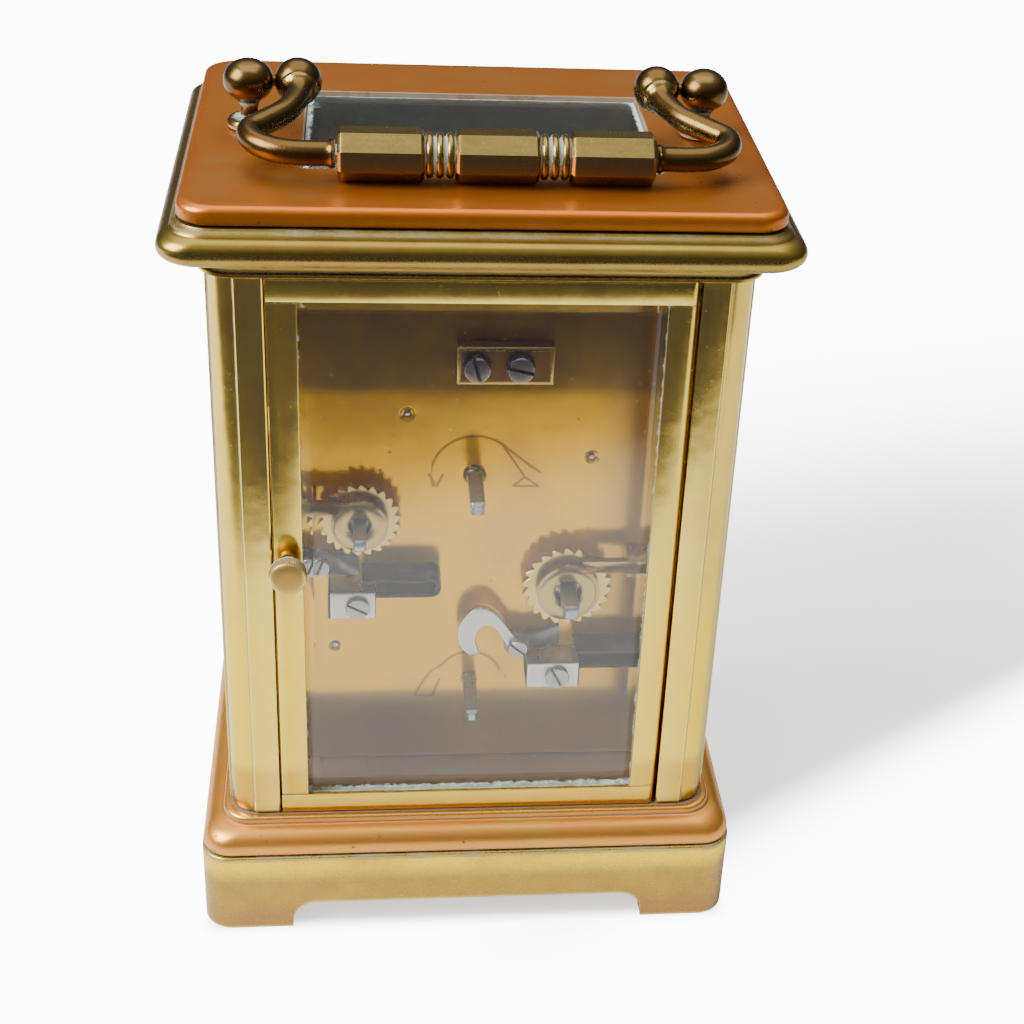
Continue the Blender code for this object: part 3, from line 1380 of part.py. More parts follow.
def build_alarm():
    alarm, star = arbor_place(ALARM_AT), arbor_place(ALARM_STAR_AT)
    hammer, setting = arbor_place(HAMMER_AT), arbor_place(ALARM_SET_AT)
    module = 2 * distance(alarm, star) / (ALARM_TEETH + STAR_PINION)
    phase, pinion_phase = mesh_phases(alarm, star, STAR_PINION)
    wheel_front = front_rear + 0.0015
    drum_front = wheel_front + 0.0014
    drum_rear = back_front - ALARM_DRUM_INSET
    barrel(
        "alarm_barrel", ALARM_AT, ALARM_DRUM_RADIUS, (drum_rear, drum_front), (drum_front, wheel_front),
        ALARM_TEETH, module, phase, hole_radius(ALARM_ARBOR_RADIUS),
    )
    winding_arbor(
        "alarm_winding_arbor", ALARM_AT, ALARM_ARBOR_RADIUS, ALARM_RATCHET_RADIUS, RATCHET_LEAN,
        front_front + ARBOR_END_INSET,
    )
    star_rear = hammer_y() + 0.0006
    star_front = star_rear - WHEEL_THICKNESS
    body = pivoted_rod("alarm_escape_wheel", star, ARBOR_RADIUS, back_front, front_rear)
    star_radius = 0.0062
    star_outline = moved(sawtoothed(STAR_TEETH, star_radius, STAR_DEPTH, STAR_LEAN), star)
    teeth = extruded("alarm_star", [star_outline], "XZ", star_front, star_rear)
    leaves = gear(
        "alarm_leaves", star, STAR_PINION, module, pinion_phase, drum_front + SKIN, wheel_front - SKIN
    )
    finish(joined(body, teeth, leaves), "brass", on_axis(star))

    body = pivoted_rod("alarm_hammer", hammer, ARBOR_RADIUS, back_front, front_rear)
    reach = distance(hammer, star) - star_radius - 0.0003
    turn = direction(hammer, star)
    anchor = [hammer, *arc(hammer, reach, math.degrees(turn) - 24, math.degrees(turn) + 24, 6)]
    pallets = extruded("hammer_pallets", [anchor], "XZ", star_front, star_rear)
    head_x, head_z = hammer_head_place()
    bend = hammer_bend()
    half = 0.0007
    stem = [(hammer[0] - half, hammer[1]), (bend[0] - half, bend[1]), (head_x - half, head_z)]
    stem += [(x + 2 * half, z) for x, z in reversed(stem)]
    rod_piece = extruded("hammer_stem", [stem], "XZ", hammer_y() - half, hammer_y() + half)
    head_half = HAMMER_HEAD_LENGTH / 2
    head_place = (head_x, head_z)
    head = rod(
        "hammer_head", head_place, HAMMER_HEAD_RADIUS, hammer_y() + head_half, hammer_y() - head_half, 14
    )
    finish(joined(body, pallets, rod_piece, head), "steel", on_axis(hammer))

    bell_top = base_top - FLOOR_THICKNESS - SEAT_GAP - 0.0005
    bell_high = BELL_LOW + BELL_HEIGHT
    outer = [(0, bell_high)] + bulge((0, BELL_LOW), (BELL_RADIUS, BELL_HEIGHT), 80, 0, 5)
    inner = bulge((0, BELL_LOW), (BELL_RADIUS - BELL_WALL, BELL_HEIGHT - BELL_WALL), 0, 80, 5)
    profile = outer + inner + [(0, bell_high - BELL_WALL)]
    bell = turned("bell", profile, "Z", (0, 0, 0), 24)
    stud_foot = bell_high - BELL_STUD_OVERLAP
    stud_profile = [(0, bell_top), (BELL_STUD_RADIUS, bell_top), (BELL_STUD_RADIUS, stud_foot), (0, stud_foot)]
    stud = turned("bell_stud", stud_profile, "Z", (0, 0, 0), 16)
    finish(joined(bell, stud), "nickel")

    body = rod("alarm_set_arbor", setting, SET_ARBOR_RADIUS, square_start, hand_rear - SKIN, 14)
    square = set_square("alarm_square", setting, SET_ARBOR_RADIUS)
    bore = SET_ARBOR_RADIUS * HAND_PIN_SHARE
    reach = ALARM_DIAL_RADIUS * ALARM_REACH
    hand = hand_shape("alarm_blade", setting, reach, bore, ALARM_TURN, hand_rear)
    finish(joined(body, square, hand), "steel", on_axis(setting))


def build_dial():
    """The enamel plate that fills the front glass, with the alarm's own circle below the hours."""
    centre, setting = arbor_place(CENTRE_AT), arbor_place(ALARM_SET_AT)
    pipe = hole_radius(CENTRE_ARBOR_RADIUS) + PIPE_WALL
    half_x = half_width - LEG_THICKNESS - DIAL_CLEARANCE
    low = base_top + SEAT_GAP
    high = body_top - SEAT_GAP
    holes = [circle(centre, hole_radius(pipe), 16), circle(setting, hole_radius(SET_ARBOR_RADIUS), 14)]
    outline = rectangle((-half_x, low), (half_x, high))
    dial = extruded("dial", [outline, *holes], "XZ", dial_front, dial_rear)
    feet = []
    for i, x in enumerate((-DIAL_RADIUS * 0.8, DIAL_RADIUS * 0.8)):
        foot = (x, centre[1])
        feet.append(
            rod(f"dial_foot_{i}", foot, ARBOR_RADIUS, front_front - SEAT_GAP, dial_rear - SEAT_GAP, 8)
        )
    finish(joined(dial, *feet), "enamel")


def main():
    build_base()
    build_columns()
    build_cornice_and_top()
    build_glasses()
    build_door()
    build_handle()
    build_frame()
    build_back_work()
    build_going_train()
    build_alarm()
    build_dial()


clear_scene()
parts = new_collection("Travel alarm clock")
cutters = new_collection("Cutters")
main()
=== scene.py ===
import json
import math

import bmesh
import bpy
import numpy as np
from mathutils import Matrix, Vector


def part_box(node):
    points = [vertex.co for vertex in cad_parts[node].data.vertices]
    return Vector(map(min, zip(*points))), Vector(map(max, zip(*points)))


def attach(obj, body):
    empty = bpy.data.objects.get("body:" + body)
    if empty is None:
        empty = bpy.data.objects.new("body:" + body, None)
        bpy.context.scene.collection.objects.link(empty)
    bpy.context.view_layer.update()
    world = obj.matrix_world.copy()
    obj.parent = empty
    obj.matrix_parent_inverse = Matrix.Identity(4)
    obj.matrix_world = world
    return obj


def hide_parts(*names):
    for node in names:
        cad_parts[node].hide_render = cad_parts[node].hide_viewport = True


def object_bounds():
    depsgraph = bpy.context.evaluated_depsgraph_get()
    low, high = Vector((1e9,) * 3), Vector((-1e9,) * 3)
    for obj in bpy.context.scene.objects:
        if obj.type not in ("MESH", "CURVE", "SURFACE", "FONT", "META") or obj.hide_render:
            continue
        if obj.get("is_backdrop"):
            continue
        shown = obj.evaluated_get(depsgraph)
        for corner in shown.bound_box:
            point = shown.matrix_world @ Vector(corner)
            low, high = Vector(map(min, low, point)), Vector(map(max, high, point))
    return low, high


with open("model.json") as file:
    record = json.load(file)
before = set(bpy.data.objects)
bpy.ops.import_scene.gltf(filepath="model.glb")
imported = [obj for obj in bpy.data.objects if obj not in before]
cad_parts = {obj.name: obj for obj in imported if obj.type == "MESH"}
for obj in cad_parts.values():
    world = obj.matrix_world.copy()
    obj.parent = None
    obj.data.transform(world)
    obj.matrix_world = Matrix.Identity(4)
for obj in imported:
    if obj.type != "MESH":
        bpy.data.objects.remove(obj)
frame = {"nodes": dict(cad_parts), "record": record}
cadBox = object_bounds()
nodes = frame["nodes"]
replacedNodes = set()


cameraLook = {
    "place": (0.01699, 0.28471, 0.23839),
    "forward": (-0.12228, -0.85658, -0.50132),
    "right": (-0.99249, 0.10700, 0.05925),
    "up": (-0.00289, -0.50480, 0.86323),
    "lens": 65.65,
    "sensor": 36.0,
    "shift": (-0.0878, -0.0350),
}


def makeCamera(look):
    data = bpy.data.cameras.new("camera")
    data.lens = look["lens"]
    data.sensor_width = look["sensor"]
    data.shift_x, data.shift_y = look["shift"]
    data.clip_start = 0.01
    data.clip_end = 20
    camera = bpy.data.objects.new("camera", data)
    bpy.context.scene.collection.objects.link(camera)
    axes = np.array([look["right"], look["up"], -np.array(look["forward"])]).T
    turn = Matrix([[*map(float, row)] for row in axes]).to_4x4()
    camera.matrix_world = Matrix.Translation(look["place"]) @ turn.to_quaternion().to_matrix().to_4x4()
    bpy.context.scene.camera = camera


# a wrapped socket that adds Math nodes when it is used in an expression
class Value:
    def __init__(self, finish, socket):
        self.finish = finish
        self.socket = socket

    def do(self, operation, *others, clamp=False):
        return self.finish.node(
            "ShaderNodeMath", {"operation": operation, "use_clamp": clamp}, [self, *others]
        )

    def __add__(self, other):
        return self.do("ADD", other)

    __radd__ = __add__

    def __sub__(self, other):
        return self.do("SUBTRACT", other)

    def __rsub__(self, other):
        return self.finish.node("ShaderNodeMath", {"operation": "SUBTRACT"}, [other, self])

    def __mul__(self, other):
        return self.do("MULTIPLY", other)

    __rmul__ = __mul__

    def __truediv__(self, other):
        return self.do("DIVIDE", other)

    def __rtruediv__(self, other):
        return self.finish.node("ShaderNodeMath", {"operation": "DIVIDE"}, [other, self])

    def __pow__(self, other):
        return self.do("POWER", other)

    def __abs__(self):
        return self.do("ABSOLUTE")

    def most(self, other):
        return self.do("MAXIMUM", other)

    def clamped(self):
        return self.do("ADD", 0.0, clamp=True)

    def rise(self, low, high):  # 0 below low, 1 above high, smooth between
        return self.finish.node(
            "ShaderNodeMapRange",
            {"interpolation_type": "SMOOTHSTEP"},
            {"Value": self, "From Min": low, "From Max": high},
        )

    def fall(self, low, high):
        return 1 - self.rise(low, high)


class Finish:
    def __init__(self, name):
        self.material = bpy.data.materials.new(name)
        self.material.use_nodes = True
        self.tree = self.material.node_tree
        self.tree.nodes.clear()
        self.shader = self.tree.nodes.new("ShaderNodeBsdfPrincipled")
        self.out = self.tree.nodes.new("ShaderNodeOutputMaterial")
        self.tree.links.new(self.shader.outputs[0], self.out.inputs[0])
        self.place = self.node("ShaderNodeTexCoord", {}, {}, "Object")

    def fill(self, socket, value):
        if isinstance(value, Value):
            self.tree.links.new(value.socket, socket)
        else:
            socket.default_value = value

    def node(self, kind, settings, values, output=0):
        made = self.tree.nodes.new(kind)
        for key, setting in settings.items():
            setattr(made, key, setting)
        pairs = values.items() if isinstance(values, dict) else enumerate(values)
        for key, value in pairs:
            self.fill(made.inputs[key], value)
        return Value(self, made.outputs[output])

    def noise(self, scale, detail=3.0, rough=0.5, at=None, distortion=0.0):
        values = {
            "Vector": at or self.place, "Scale": scale, "Detail": detail, "Roughness": rough,
            "Distortion": distortion,
        }
        return self.node("ShaderNodeTexNoise", {}, values, "Fac")

    def stretched(self, scales):
        return self.node("ShaderNodeMapping", {}, {"Vector": self.place, "Scale": scales})

    def cells(self, scale):
        return self.node("ShaderNodeTexVoronoi", {}, {"Vector": self.place, "Scale": scale}, "Distance")

    def part(self, axis):
        return self.node("ShaderNodeSeparateXYZ", {}, {"Vector": self.place}, axis)

    def painted(self, name):  # a number kept at each point of the piece
        return self.node("ShaderNodeAttribute", {"attribute_name": name}, {}, "Fac")

    def mix(self, amount, first, second):
        made = self.tree.nodes.new("ShaderNodeMix")
        made.data_type = "RGBA"
        self.fill(made.inputs[0], amount)
        for socket, colour in ((made.inputs[6], first), (made.inputs[7], second)):
            self.fill(socket, colour if isinstance(colour, Value) else (*colour, 1))
        return Value(self, made.outputs[2])

    def bump(self, height, strength, distance, under=None):
        values = {"Height": height, "Strength": strength, "Distance": distance}
        if under is not None:
            values["Normal"] = under
        return self.node("ShaderNodeBump", {}, values)

    def set(self, **sockets):
        for key, value in sockets.items():
            name = {
                "colour": "Base Color", "metallic": "Metallic", "roughness": "Roughness",
                "normal": "Normal", "clear": "Transmission Weight", "ior": "IOR", "alpha": "Alpha",
                "specular": "Specular IOR Level",
            }[key]
            if name == "Base Color" and not isinstance(value, Value):
                value = (*value, 1)
            self.fill(self.shader.inputs[name], value)
        return self.material


def agedBrass(name, look, marks=None):
    # polished metal under patches of tarnish, fine polishing lines, dark spots, rubbed edges and pale polish
    # left in the creases, with painted light and shade in bands and a painted shade inside the case
    f = Finish(name)
    broad = f.noise(look["broad"], 3, 0.55, distortion=0.6)
    cloud = f.noise(look["cloud"], 6, 0.62, distortion=0.3)
    grain = f.noise(1.0, 4, 0.6, at=f.stretched(look["grain"]))
    fine = f.noise(2600, 2, 0.6)
    edge = f.painted("wear")
    crease = f.painted("grime")
    tarnish = broad * 0.65 + cloud * 0.45 + (grain - 0.5) * look["streak"] + look["tarnish"] - 0.54
    tarnish = tarnish.rise(0.28, 0.72)
    tarnish = (tarnish * (1 - edge * 0.75)).clamped()
    colour = f.mix(tarnish, look["bright"], look["dull"])
    warmth = f.noise(look["broad"] * 1.7, 4, 0.6, at=f.stretched((1, 1, 0.7))).rise(0.46, 0.72)
    colour = f.mix(warmth * look["warmth"], colour, look["warm"])
    # some bands are painted light and shade (a painted reflection, a painted shadow); the others give a darker
    # tone towards the bottom
    for axis, start, end, shade, amount in look["paintedLightAndToneBands"]:
        colour = f.mix(f.part(axis).rise(start, end) * amount * (0.75 + cloud * 0.5), colour, shade)
    dots = f.cells(look["dots"]).fall(0.05, 0.16) * f.noise(look["dots"] * 0.21, 2).rise(0.50, 0.62)
    colour = f.mix(dots * look["dotDepth"], colour, look["spot"])
    colour = f.mix((edge * (0.55 + fine * 0.5)).clamped() * look["edgeShine"], colour, look["edge"])
    residue = (crease * (0.35 + cloud * 1.1) + fine * 0.25 - 0.28).rise(0.22, 0.62)
    dirt = (crease * 1.2 + cloud * 0.4 - 0.25).rise(0.2, 0.9)
    colour = f.mix(dirt * look["dirtDepth"], colour, look["dirt"])
    colour = f.mix(residue * look["residue"], colour, look["residueColour"])
    cut = 0.0
    if marks:
        cut = marks(f)
        colour = f.mix(cut * 0.72, colour, look["spot"])
    # painted shade: where the 'inside' number is set, the colour turns near black-brown and less metallic, for
    # the shade inside the case
    inside = f.painted("inside")
    colour = f.mix(inside * 0.85, colour, (0.045, 0.032, 0.018))
    metal = look["metal"] - inside * 0.5 - residue * look["residue"] * 0.9 - dirt * 0.25
    rough = look["rough"] + tarnish * look["roughTarnish"] + (fine - 0.5) * 0.10 + grain * 0.06
    rough = rough + residue * 0.35 + dots * 0.2 - edge * 0.08
    height = cloud * 0.35 + grain * 0.5 + fine * 0.10 - cut * 3.0
    slow = f.noise(look["wave"], 2, 0.5)
    normal = f.bump(slow, look["waveDepth"], 0.001)
    normal = f.bump(height, look["bump"], 0.0002, normal)
    return f.set(
        colour=colour, metallic=metal.clamped(), roughness=rough.clamped(), normal=normal,
        specular=look["specular"],
    )


# two curved arrows cut into the plate, as arcs (centre, radius, ends across) and lines, in millimetres
engraved = {
    "arcs": [((0.0, 81.5), 7.3, (-5.2, 7.2), 79.2), ((0.0, 39.8), 5.6, (-5.4, 5.2), 40.6)],
    "lines": [
        ((6.3, 79.2), (7.6, 81.5)), ((6.3, 79.2), (5.3, 81.5)), ((-4.4, 87.3), (-8.4, 81.0)),
        ((-5.2, 86.6), (-9.2, 83.2)),
        ((-9.2, 83.2), (-11.0, 81.9)), ((-8.4, 81.0), (-10.7, 79.2)), ((-8.4, 81.0), (-6.5, 79.3)),
        ((-6.5, 79.3), (-10.7, 79.2)),
        ((4.6, 42.9), (6.9, 41.2)), ((6.9, 41.2), (8.6, 38.2)), ((8.6, 38.2), (9.6, 36.0)),
        ((6.4, 35.9), (9.6, 36.0)),
        ((5.2, 39.6), (6.4, 35.9)),
    ],
    "width": 0.25,
}


def arrowMarks(f):
    x, z = f.part("X") * 1000, f.part("Z") * 1000
    width = engraved["width"]
    total = None
    for (cx, cz), radius, (low, high), floor in engraved["arcs"]:
        away = abs(((x - cx) ** 2 + (z - cz) ** 2) ** 0.5 - radius)
        kept = x.rise(low - 0.2, low + 0.2) * x.fall(high - 0.1, high + 0.1) * z.rise(floor - 0.2, floor)
        mark = away.fall(width * 0.5, width * 1.4) * kept
        total = mark if total is None else total.most(mark)
    for (ax, az), (bx, bz) in engraved["lines"]:
        dx, dz = bx - ax, bz - az
        share = (((x - ax) * dx + (z - az) * dz) / (dx * dx + dz * dz)).clamped()
        away = ((x - ax - share * dx) ** 2 + (z - az - share * dz) ** 2) ** 0.5
        total = total.most(away.fall(width * 0.5, width * 1.3))
    return total * f.part("Y").rise(0.0147, 0.0149)


caseLook = {
    "bright": (0.74, 0.53, 0.090), "dull": (0.36, 0.262, 0.052), "warm": (0.44, 0.225, 0.06),
    "edge": (0.95, 0.74, 0.20),
    "spot": (0.08, 0.05, 0.02), "dirt": (0.085, 0.06, 0.022), "residueColour": (0.62, 0.63, 0.54),
    "broad": 42.0, "cloud": 190.0, "grain": (760, 760, 24), "dots": 900.0, "dotDepth": 0.35, "tarnish": 0.10,
    "warmth": 0.45, "edgeShine": 0.55, "dirtDepth": 0.75, "residue": 0.55, "metal": 1.0, "rough": 0.17,
    "roughTarnish": 0.14, "wave": 120.0, "waveDepth": 0.10, "bump": 0.10, "specular": 0.5, "streak": 1.25,
    # painted reflection: below z 0.078 to 0.055 the columns and door turn bright yellow, as the pale floor
    # would show in them; below z 0.033 a plain darker orange-brown
    "paintedLightAndToneBands": [("Z", 0.078, 0.055, (0.86, 0.585, 0.018), 0.62),
              ("Z", 0.0330, 0.0300, (0.50, 0.27, 0.025), 0.7)],
}
plinthLook = {**caseLook, "grain": (40, 40, 900), "tarnish": 0.08, "warmth": 0.6, "rough": 0.25,
              "broad": 30.0,
              "bright": (0.88, 0.60, 0.040), "dull": (0.62, 0.42, 0.040), "streak": 0.5, "residue": 0.3,
              # the plinth's face turns darker brown below z 0.014, and again towards the floor
              "paintedLightAndToneBands": [("Z", 0.0142, 0.0100, (0.34, 0.21, 0.058), 0.85),
                        ("Z", 0.0065, 0.0020, (0.36, 0.19, 0.070), 0.75)]}
corniceLook = {**caseLook, "bright": (0.30, 0.212, 0.040), "dull": (0.15, 0.108, 0.024),
               "warm": (0.26, 0.125, 0.030), "streak": 0.4, "paintedLightAndToneBands": [],
               "edge": (0.80, 0.58, 0.18), "tarnish": 0.10, "grain": (60, 60, 1500), "rough": 0.27,
               "residue": 0.25, "warmth": 0.6}
lacquerLook = {
    **caseLook, "bright": (0.47, 0.158, 0.022), "dull": (0.34, 0.118, 0.018), "warm": (0.42, 0.215, 0.065),
    "streak": 0.2,
    "edge": (0.74, 0.165, 0.012), "spot": (0.07, 0.03, 0.015), "dirt": (0.075, 0.040, 0.018), "broad": 36.0,
    "cloud": 240.0, "paintedLightAndToneBands": [],
    "grain": (120, 700, 700), "tarnish": 0.10, "warmth": 0.45, "metal": 0.84, "rough": 0.37,
    "roughTarnish": 0.10,
    "dotDepth": 0.7, "dots": 420.0, "waveDepth": 0.05, "residue": 0.25, "specular": 0.15, "edgeShine": 0.6,
}
mouldingLook = {**lacquerLook, "bright": (0.72, 0.30, 0.055), "dull": (0.52, 0.22, 0.045),
                "warm": (0.60, 0.38, 0.08),
                "edge": (0.88, 0.46, 0.10), "metal": 0.85, "rough": 0.32, "warmth": 0.7}
handleLook = {
    **caseLook, "bright": (0.25, 0.172, 0.038), "dull": (0.12, 0.080, 0.022), "warm": (0.20, 0.092, 0.028),
    "streak": 0.3, "paintedLightAndToneBands": [],
    "edge": (0.62, 0.47, 0.16), "broad": 70.0, "cloud": 320.0, "grain": (60, 900, 900), "tarnish": 0.10,
    "rough": 0.27,
    "residue": 0.75, "dirtDepth": 0.6, "waveDepth": 0.12,
}
armLook = {**handleLook, "bright": (0.125, 0.074, 0.021), "dull": (0.062, 0.037, 0.012),
           "warm": (0.13, 0.060, 0.022), "warmth": 0.6,
           "rough": 0.24}
movementLook = {
    **caseLook, "bright": (0.80, 0.47, 0.062), "dull": (0.60, 0.36, 0.052), "warm": (0.50, 0.25, 0.035),
    "edge": (0.92, 0.66, 0.2), "streak": 0.15, "paintedLightAndToneBands": [], "grain": (70, 70, 70), "tarnish": 0.0,
    "warmth": 0.45, "rough": 0.20, "dots": 420.0,
    "dotDepth": 0.75, "cloud": 150.0, "residue": 0.2, "dirtDepth": 0.6, "waveDepth": 0.05, "bump": 0.05,
}
steelLook = {
    **caseLook, "paintedLightAndToneBands": [], "bright": (0.34, 0.335, 0.33), "dull": (0.20, 0.195, 0.19),
    "warm": (0.33, 0.27, 0.21),
    "edge": (0.72, 0.72, 0.72), "spot": (0.14, 0.09, 0.06), "grain": (1400, 90, 90), "rough": 0.28,
    "warmth": 0.3,
    "tarnish": 0.0, "residue": 0.1, "residueColour": (0.6, 0.6, 0.6), "dirt": (0.08, 0.075, 0.07),
}
darkSteelLook = {**steelLook, "bright": (0.026, 0.022, 0.018), "dull": (0.014, 0.012, 0.010),
                 "edge": (0.34, 0.31, 0.27), "metal": 0.85,
                 "specular": 0.25, "rough": 0.34}
knobLook = {**caseLook, "bright": (0.50, 0.34, 0.085), "dull": (0.34, 0.225, 0.06), "rough": 0.42,
            "edgeShine": 0.95, "paintedLightAndToneBands": [],
            "edge": (1.0, 0.80, 0.30), "grain": (200, 200, 200), "metal": 0.9}
cockLook = {**caseLook, "bright": (0.42, 0.30, 0.11), "dull": (0.22, 0.16, 0.065), "grain": (300, 300, 300),
            "rough": 0.2, "paintedLightAndToneBands": []}
blockLook = {**cockLook, "bright": (0.21, 0.115, 0.030), "dull": (0.12, 0.068, 0.020),
             "warm": (0.17, 0.075, 0.02), "rough": 0.28}
backLook = {**movementLook, "bright": (0.83, 0.445, 0.006), "dull": (0.62, 0.335, 0.006), "rough": 0.16,
            "roughTarnish": 0.08, "bump": 0.008,
            "metal": 0.70, "spot": (0.10, 0.055, 0.015), "dotDepth": 0.85,
            # painted shadow of the cornice across the plate above z 0.095, painted reflection of the dark case
            # floor below z 0.037, and painted shade down its -X side beyond x -0.0175
            "paintedLightAndToneBands": [("Z", 0.0950, 0.0985, (0.13, 0.088, 0.014), 0.8),
                      ("Z", 0.0378, 0.0365, (0.20, 0.13, 0.055), 0.68),
                      ("X", -0.0175, -0.0275, (0.30, 0.19, 0.06), 0.62)]}
paleSteelLook = {**steelLook, "bright": (0.60, 0.59, 0.56), "dull": (0.42, 0.41, 0.38), "rough": 0.34,
                 "warmth": 0.12}
clickLook = {**steelLook, "bright": (0.16, 0.145, 0.125), "dull": (0.075, 0.068, 0.058), "rough": 0.30}
nickelLook = {**steelLook, "bright": (0.76, 0.73, 0.66), "dull": (0.60, 0.56, 0.48), "warm": (0.6, 0.5, 0.34),
              "grain": (300, 300, 300), "rough": 0.22}
blueLook = {**steelLook, "bright": (0.035, 0.055, 0.20), "dull": (0.02, 0.03, 0.10),
            "warm": (0.07, 0.03, 0.10),
            "edge": (0.12, 0.18, 0.42), "rough": 0.2}
paleBrassLook = {**movementLook, "bright": (0.46, 0.32, 0.085), "dull": (0.26, 0.18, 0.05),
                 "warm": (0.28, 0.16, 0.045), "edgeShine": 0.7,
                 "grain": (300, 300, 300), "rough": 0.26}
enamelLook = {**nickelLook, "bright": (0.86, 0.85, 0.80), "dull": (0.80, 0.79, 0.73), "metal": 0.0,
              "rough": 0.25}
inkLook = {**enamelLook, "bright": (0.012, 0.012, 0.014), "dull": (0.02, 0.02, 0.02),
           "edge": (0.03, 0.03, 0.03), "warm": (0.02, 0.015, 0.01)}


def glassFinish(name, look):
    # clear glass with a thin uneven film of dust, and blue-green deposit along its edges
    f = Finish(name)
    film = f.noise(look["filmScale"], 4, 0.6)
    specks = f.cells(look["speckScale"]).fall(0.03, 0.09) * f.noise(look["speckScale"] * 0.17, 2).rise(0.52,
        0.64)
    edge = f.painted("edge")
    crust = (edge * (0.2 + f.noise(700, 5, 0.7) * 1.4) - 0.45).rise(0.1, 0.35)
    dust = (look["film"] * (0.4 + film) + specks * look["specks"] + crust * look["crust"]).clamped()
    f.set(clear=1.0, ior=1.5, roughness=0.012, colour=look["tint"])
    dusty = f.tree.nodes.new("ShaderNodeBsdfDiffuse")
    f.fill(dusty.inputs["Color"], f.mix(crust, look["dustColour"], look["crustColour"]))
    through = f.tree.nodes.new("ShaderNodeBsdfTransparent")
    f.fill(through.inputs["Color"], (0.93, 0.95, 0.94, 1))
    lamp = f.node("ShaderNodeLightPath", {}, {}, "Is Shadow Ray")
    lit = f.tree.nodes.new("ShaderNodeMixShader")
    covered = f.tree.nodes.new("ShaderNodeMixShader")
    f.fill(lit.inputs[0], lamp)
    f.tree.links.new(f.shader.outputs[0], lit.inputs[1])
    f.tree.links.new(through.outputs[0], lit.inputs[2])
    f.fill(covered.inputs[0], dust)
    f.tree.links.new(lit.outputs[0], covered.inputs[1])
    f.tree.links.new(dusty.outputs[0], covered.inputs[2])
    f.tree.links.new(covered.outputs[0], f.out.inputs[0])
    return f.material


paneLook = {
    "tint": (0.985, 0.995, 0.99), "film": 0.004, "filmScale": 60.0, "speckScale": 520.0, "specks": 0.35,
    "crust": 0.85, "dustColour": (0.80, 0.79, 0.76), "crustColour": (0.66, 0.80, 0.76),
}
# painted reflection: the top pane's dark blue-grey tint darkens what shows through it, as the dark surroundings
# it reflects would
topPaneLook = {**paneLook, "tint": (0.38, 0.48, 0.53), "film": 0.006, "specks": 0.8, "speckScale": 1500.0}

finishes = {
    "case": agedBrass("agedCaseBrass", caseLook),
    "plinth": agedBrass("agedPlinthBrass", plinthLook),
    "cornice": agedBrass("agedCorniceBrass", corniceLook),
    "lacquer": agedBrass("orangeLacqueredBrass", lacquerLook),
    "moulding": agedBrass("copperMouldingBrass", mouldingLook),
    "handle": agedBrass("oliveHandleBrass", handleLook),
    "arm": agedBrass("brownHandleBrass", armLook),
    "knob": agedBrass("rubbedKnobBrass", knobLook),
    "block": agedBrass("darkBlockBrass", blockLook),
    "click": agedBrass("greyClickSteel", clickLook),
    "movement": agedBrass("spottedMovementBrass", movementLook),
    "cock": agedBrass("brownCockBrass", cockLook),
    "darkSteel": agedBrass("darkSpringSteel", darkSteelLook),
    "steel": agedBrass("greyPolishedSteel", steelLook),
    "paleSteel": agedBrass("paleClickSteel", paleSteelLook),
    "nickel": agedBrass("dullSilveredMetal", nickelLook),
    "blue": agedBrass("heatBluedSteel", blueLook),
    "backFace": agedBrass("spottedBackPlateBrass", backLook, arrowMarks),
    "paleBrass": agedBrass("paleRatchetBrass", paleBrassLook),
    "enamel": agedBrass("creamDialEnamel", enamelLook),
    "ink": agedBrass("blackDialInk", inkLook),
    "pane": glassFinish("dustyPaneGlass", paneLook),
    "topPane": glassFinish("dustyTopGlass", topPaneLook),
}
print("finishes ready")


# a shape is (points, faces, wear, grime), and rows of points are joined into faces
def gridShape(points, wear=0.0, grime=0.0, closeRows=False, closeAcross=True, caps=True):
    # points[row, place]; each quad joins two rows, and the first and last rows may be capped
    points = np.asarray(points, float)
    rows, across = points.shape[:2]
    index = np.arange(rows * across).reshape(rows, across)
    below = index if closeRows else index[:-1]
    above = np.roll(index, -1, 0) if closeRows else index[1:]
    first, second = (below, above)
    if closeAcross:
        quads = np.stack([first, np.roll(first, -1, 1), np.roll(second, -1, 1), second], -1)
    else:
        quads = np.stack([first[:, :-1], first[:, 1:], second[:, 1:], second[:, :-1]], -1)
    faces = quads.reshape(-1, 4).tolist()
    if caps and closeAcross and not closeRows:
        faces += [index[0][::-1].tolist(), index[-1].tolist()]
    spread = [np.broadcast_to(np.asarray(v, float).reshape(-1, 1) if np.ndim(v) == 1 else v, (rows, across))
              for v in (wear, grime)]
    return points.reshape(-1, 3), faces, spread[0].flatten(), spread[1].flatten()


def joinShapes(*shapes):
    points, faces, wear, grime, start = [], [], [], [], 0
    for shape in shapes:
        points.append(shape[0])
        faces += [[i + start for i in face] for face in shape[1]]
        wear.append(shape[2])
        grime.append(shape[3])
        start += len(shape[0])
    return np.concatenate(points), faces, np.concatenate(wear), np.concatenate(grime)


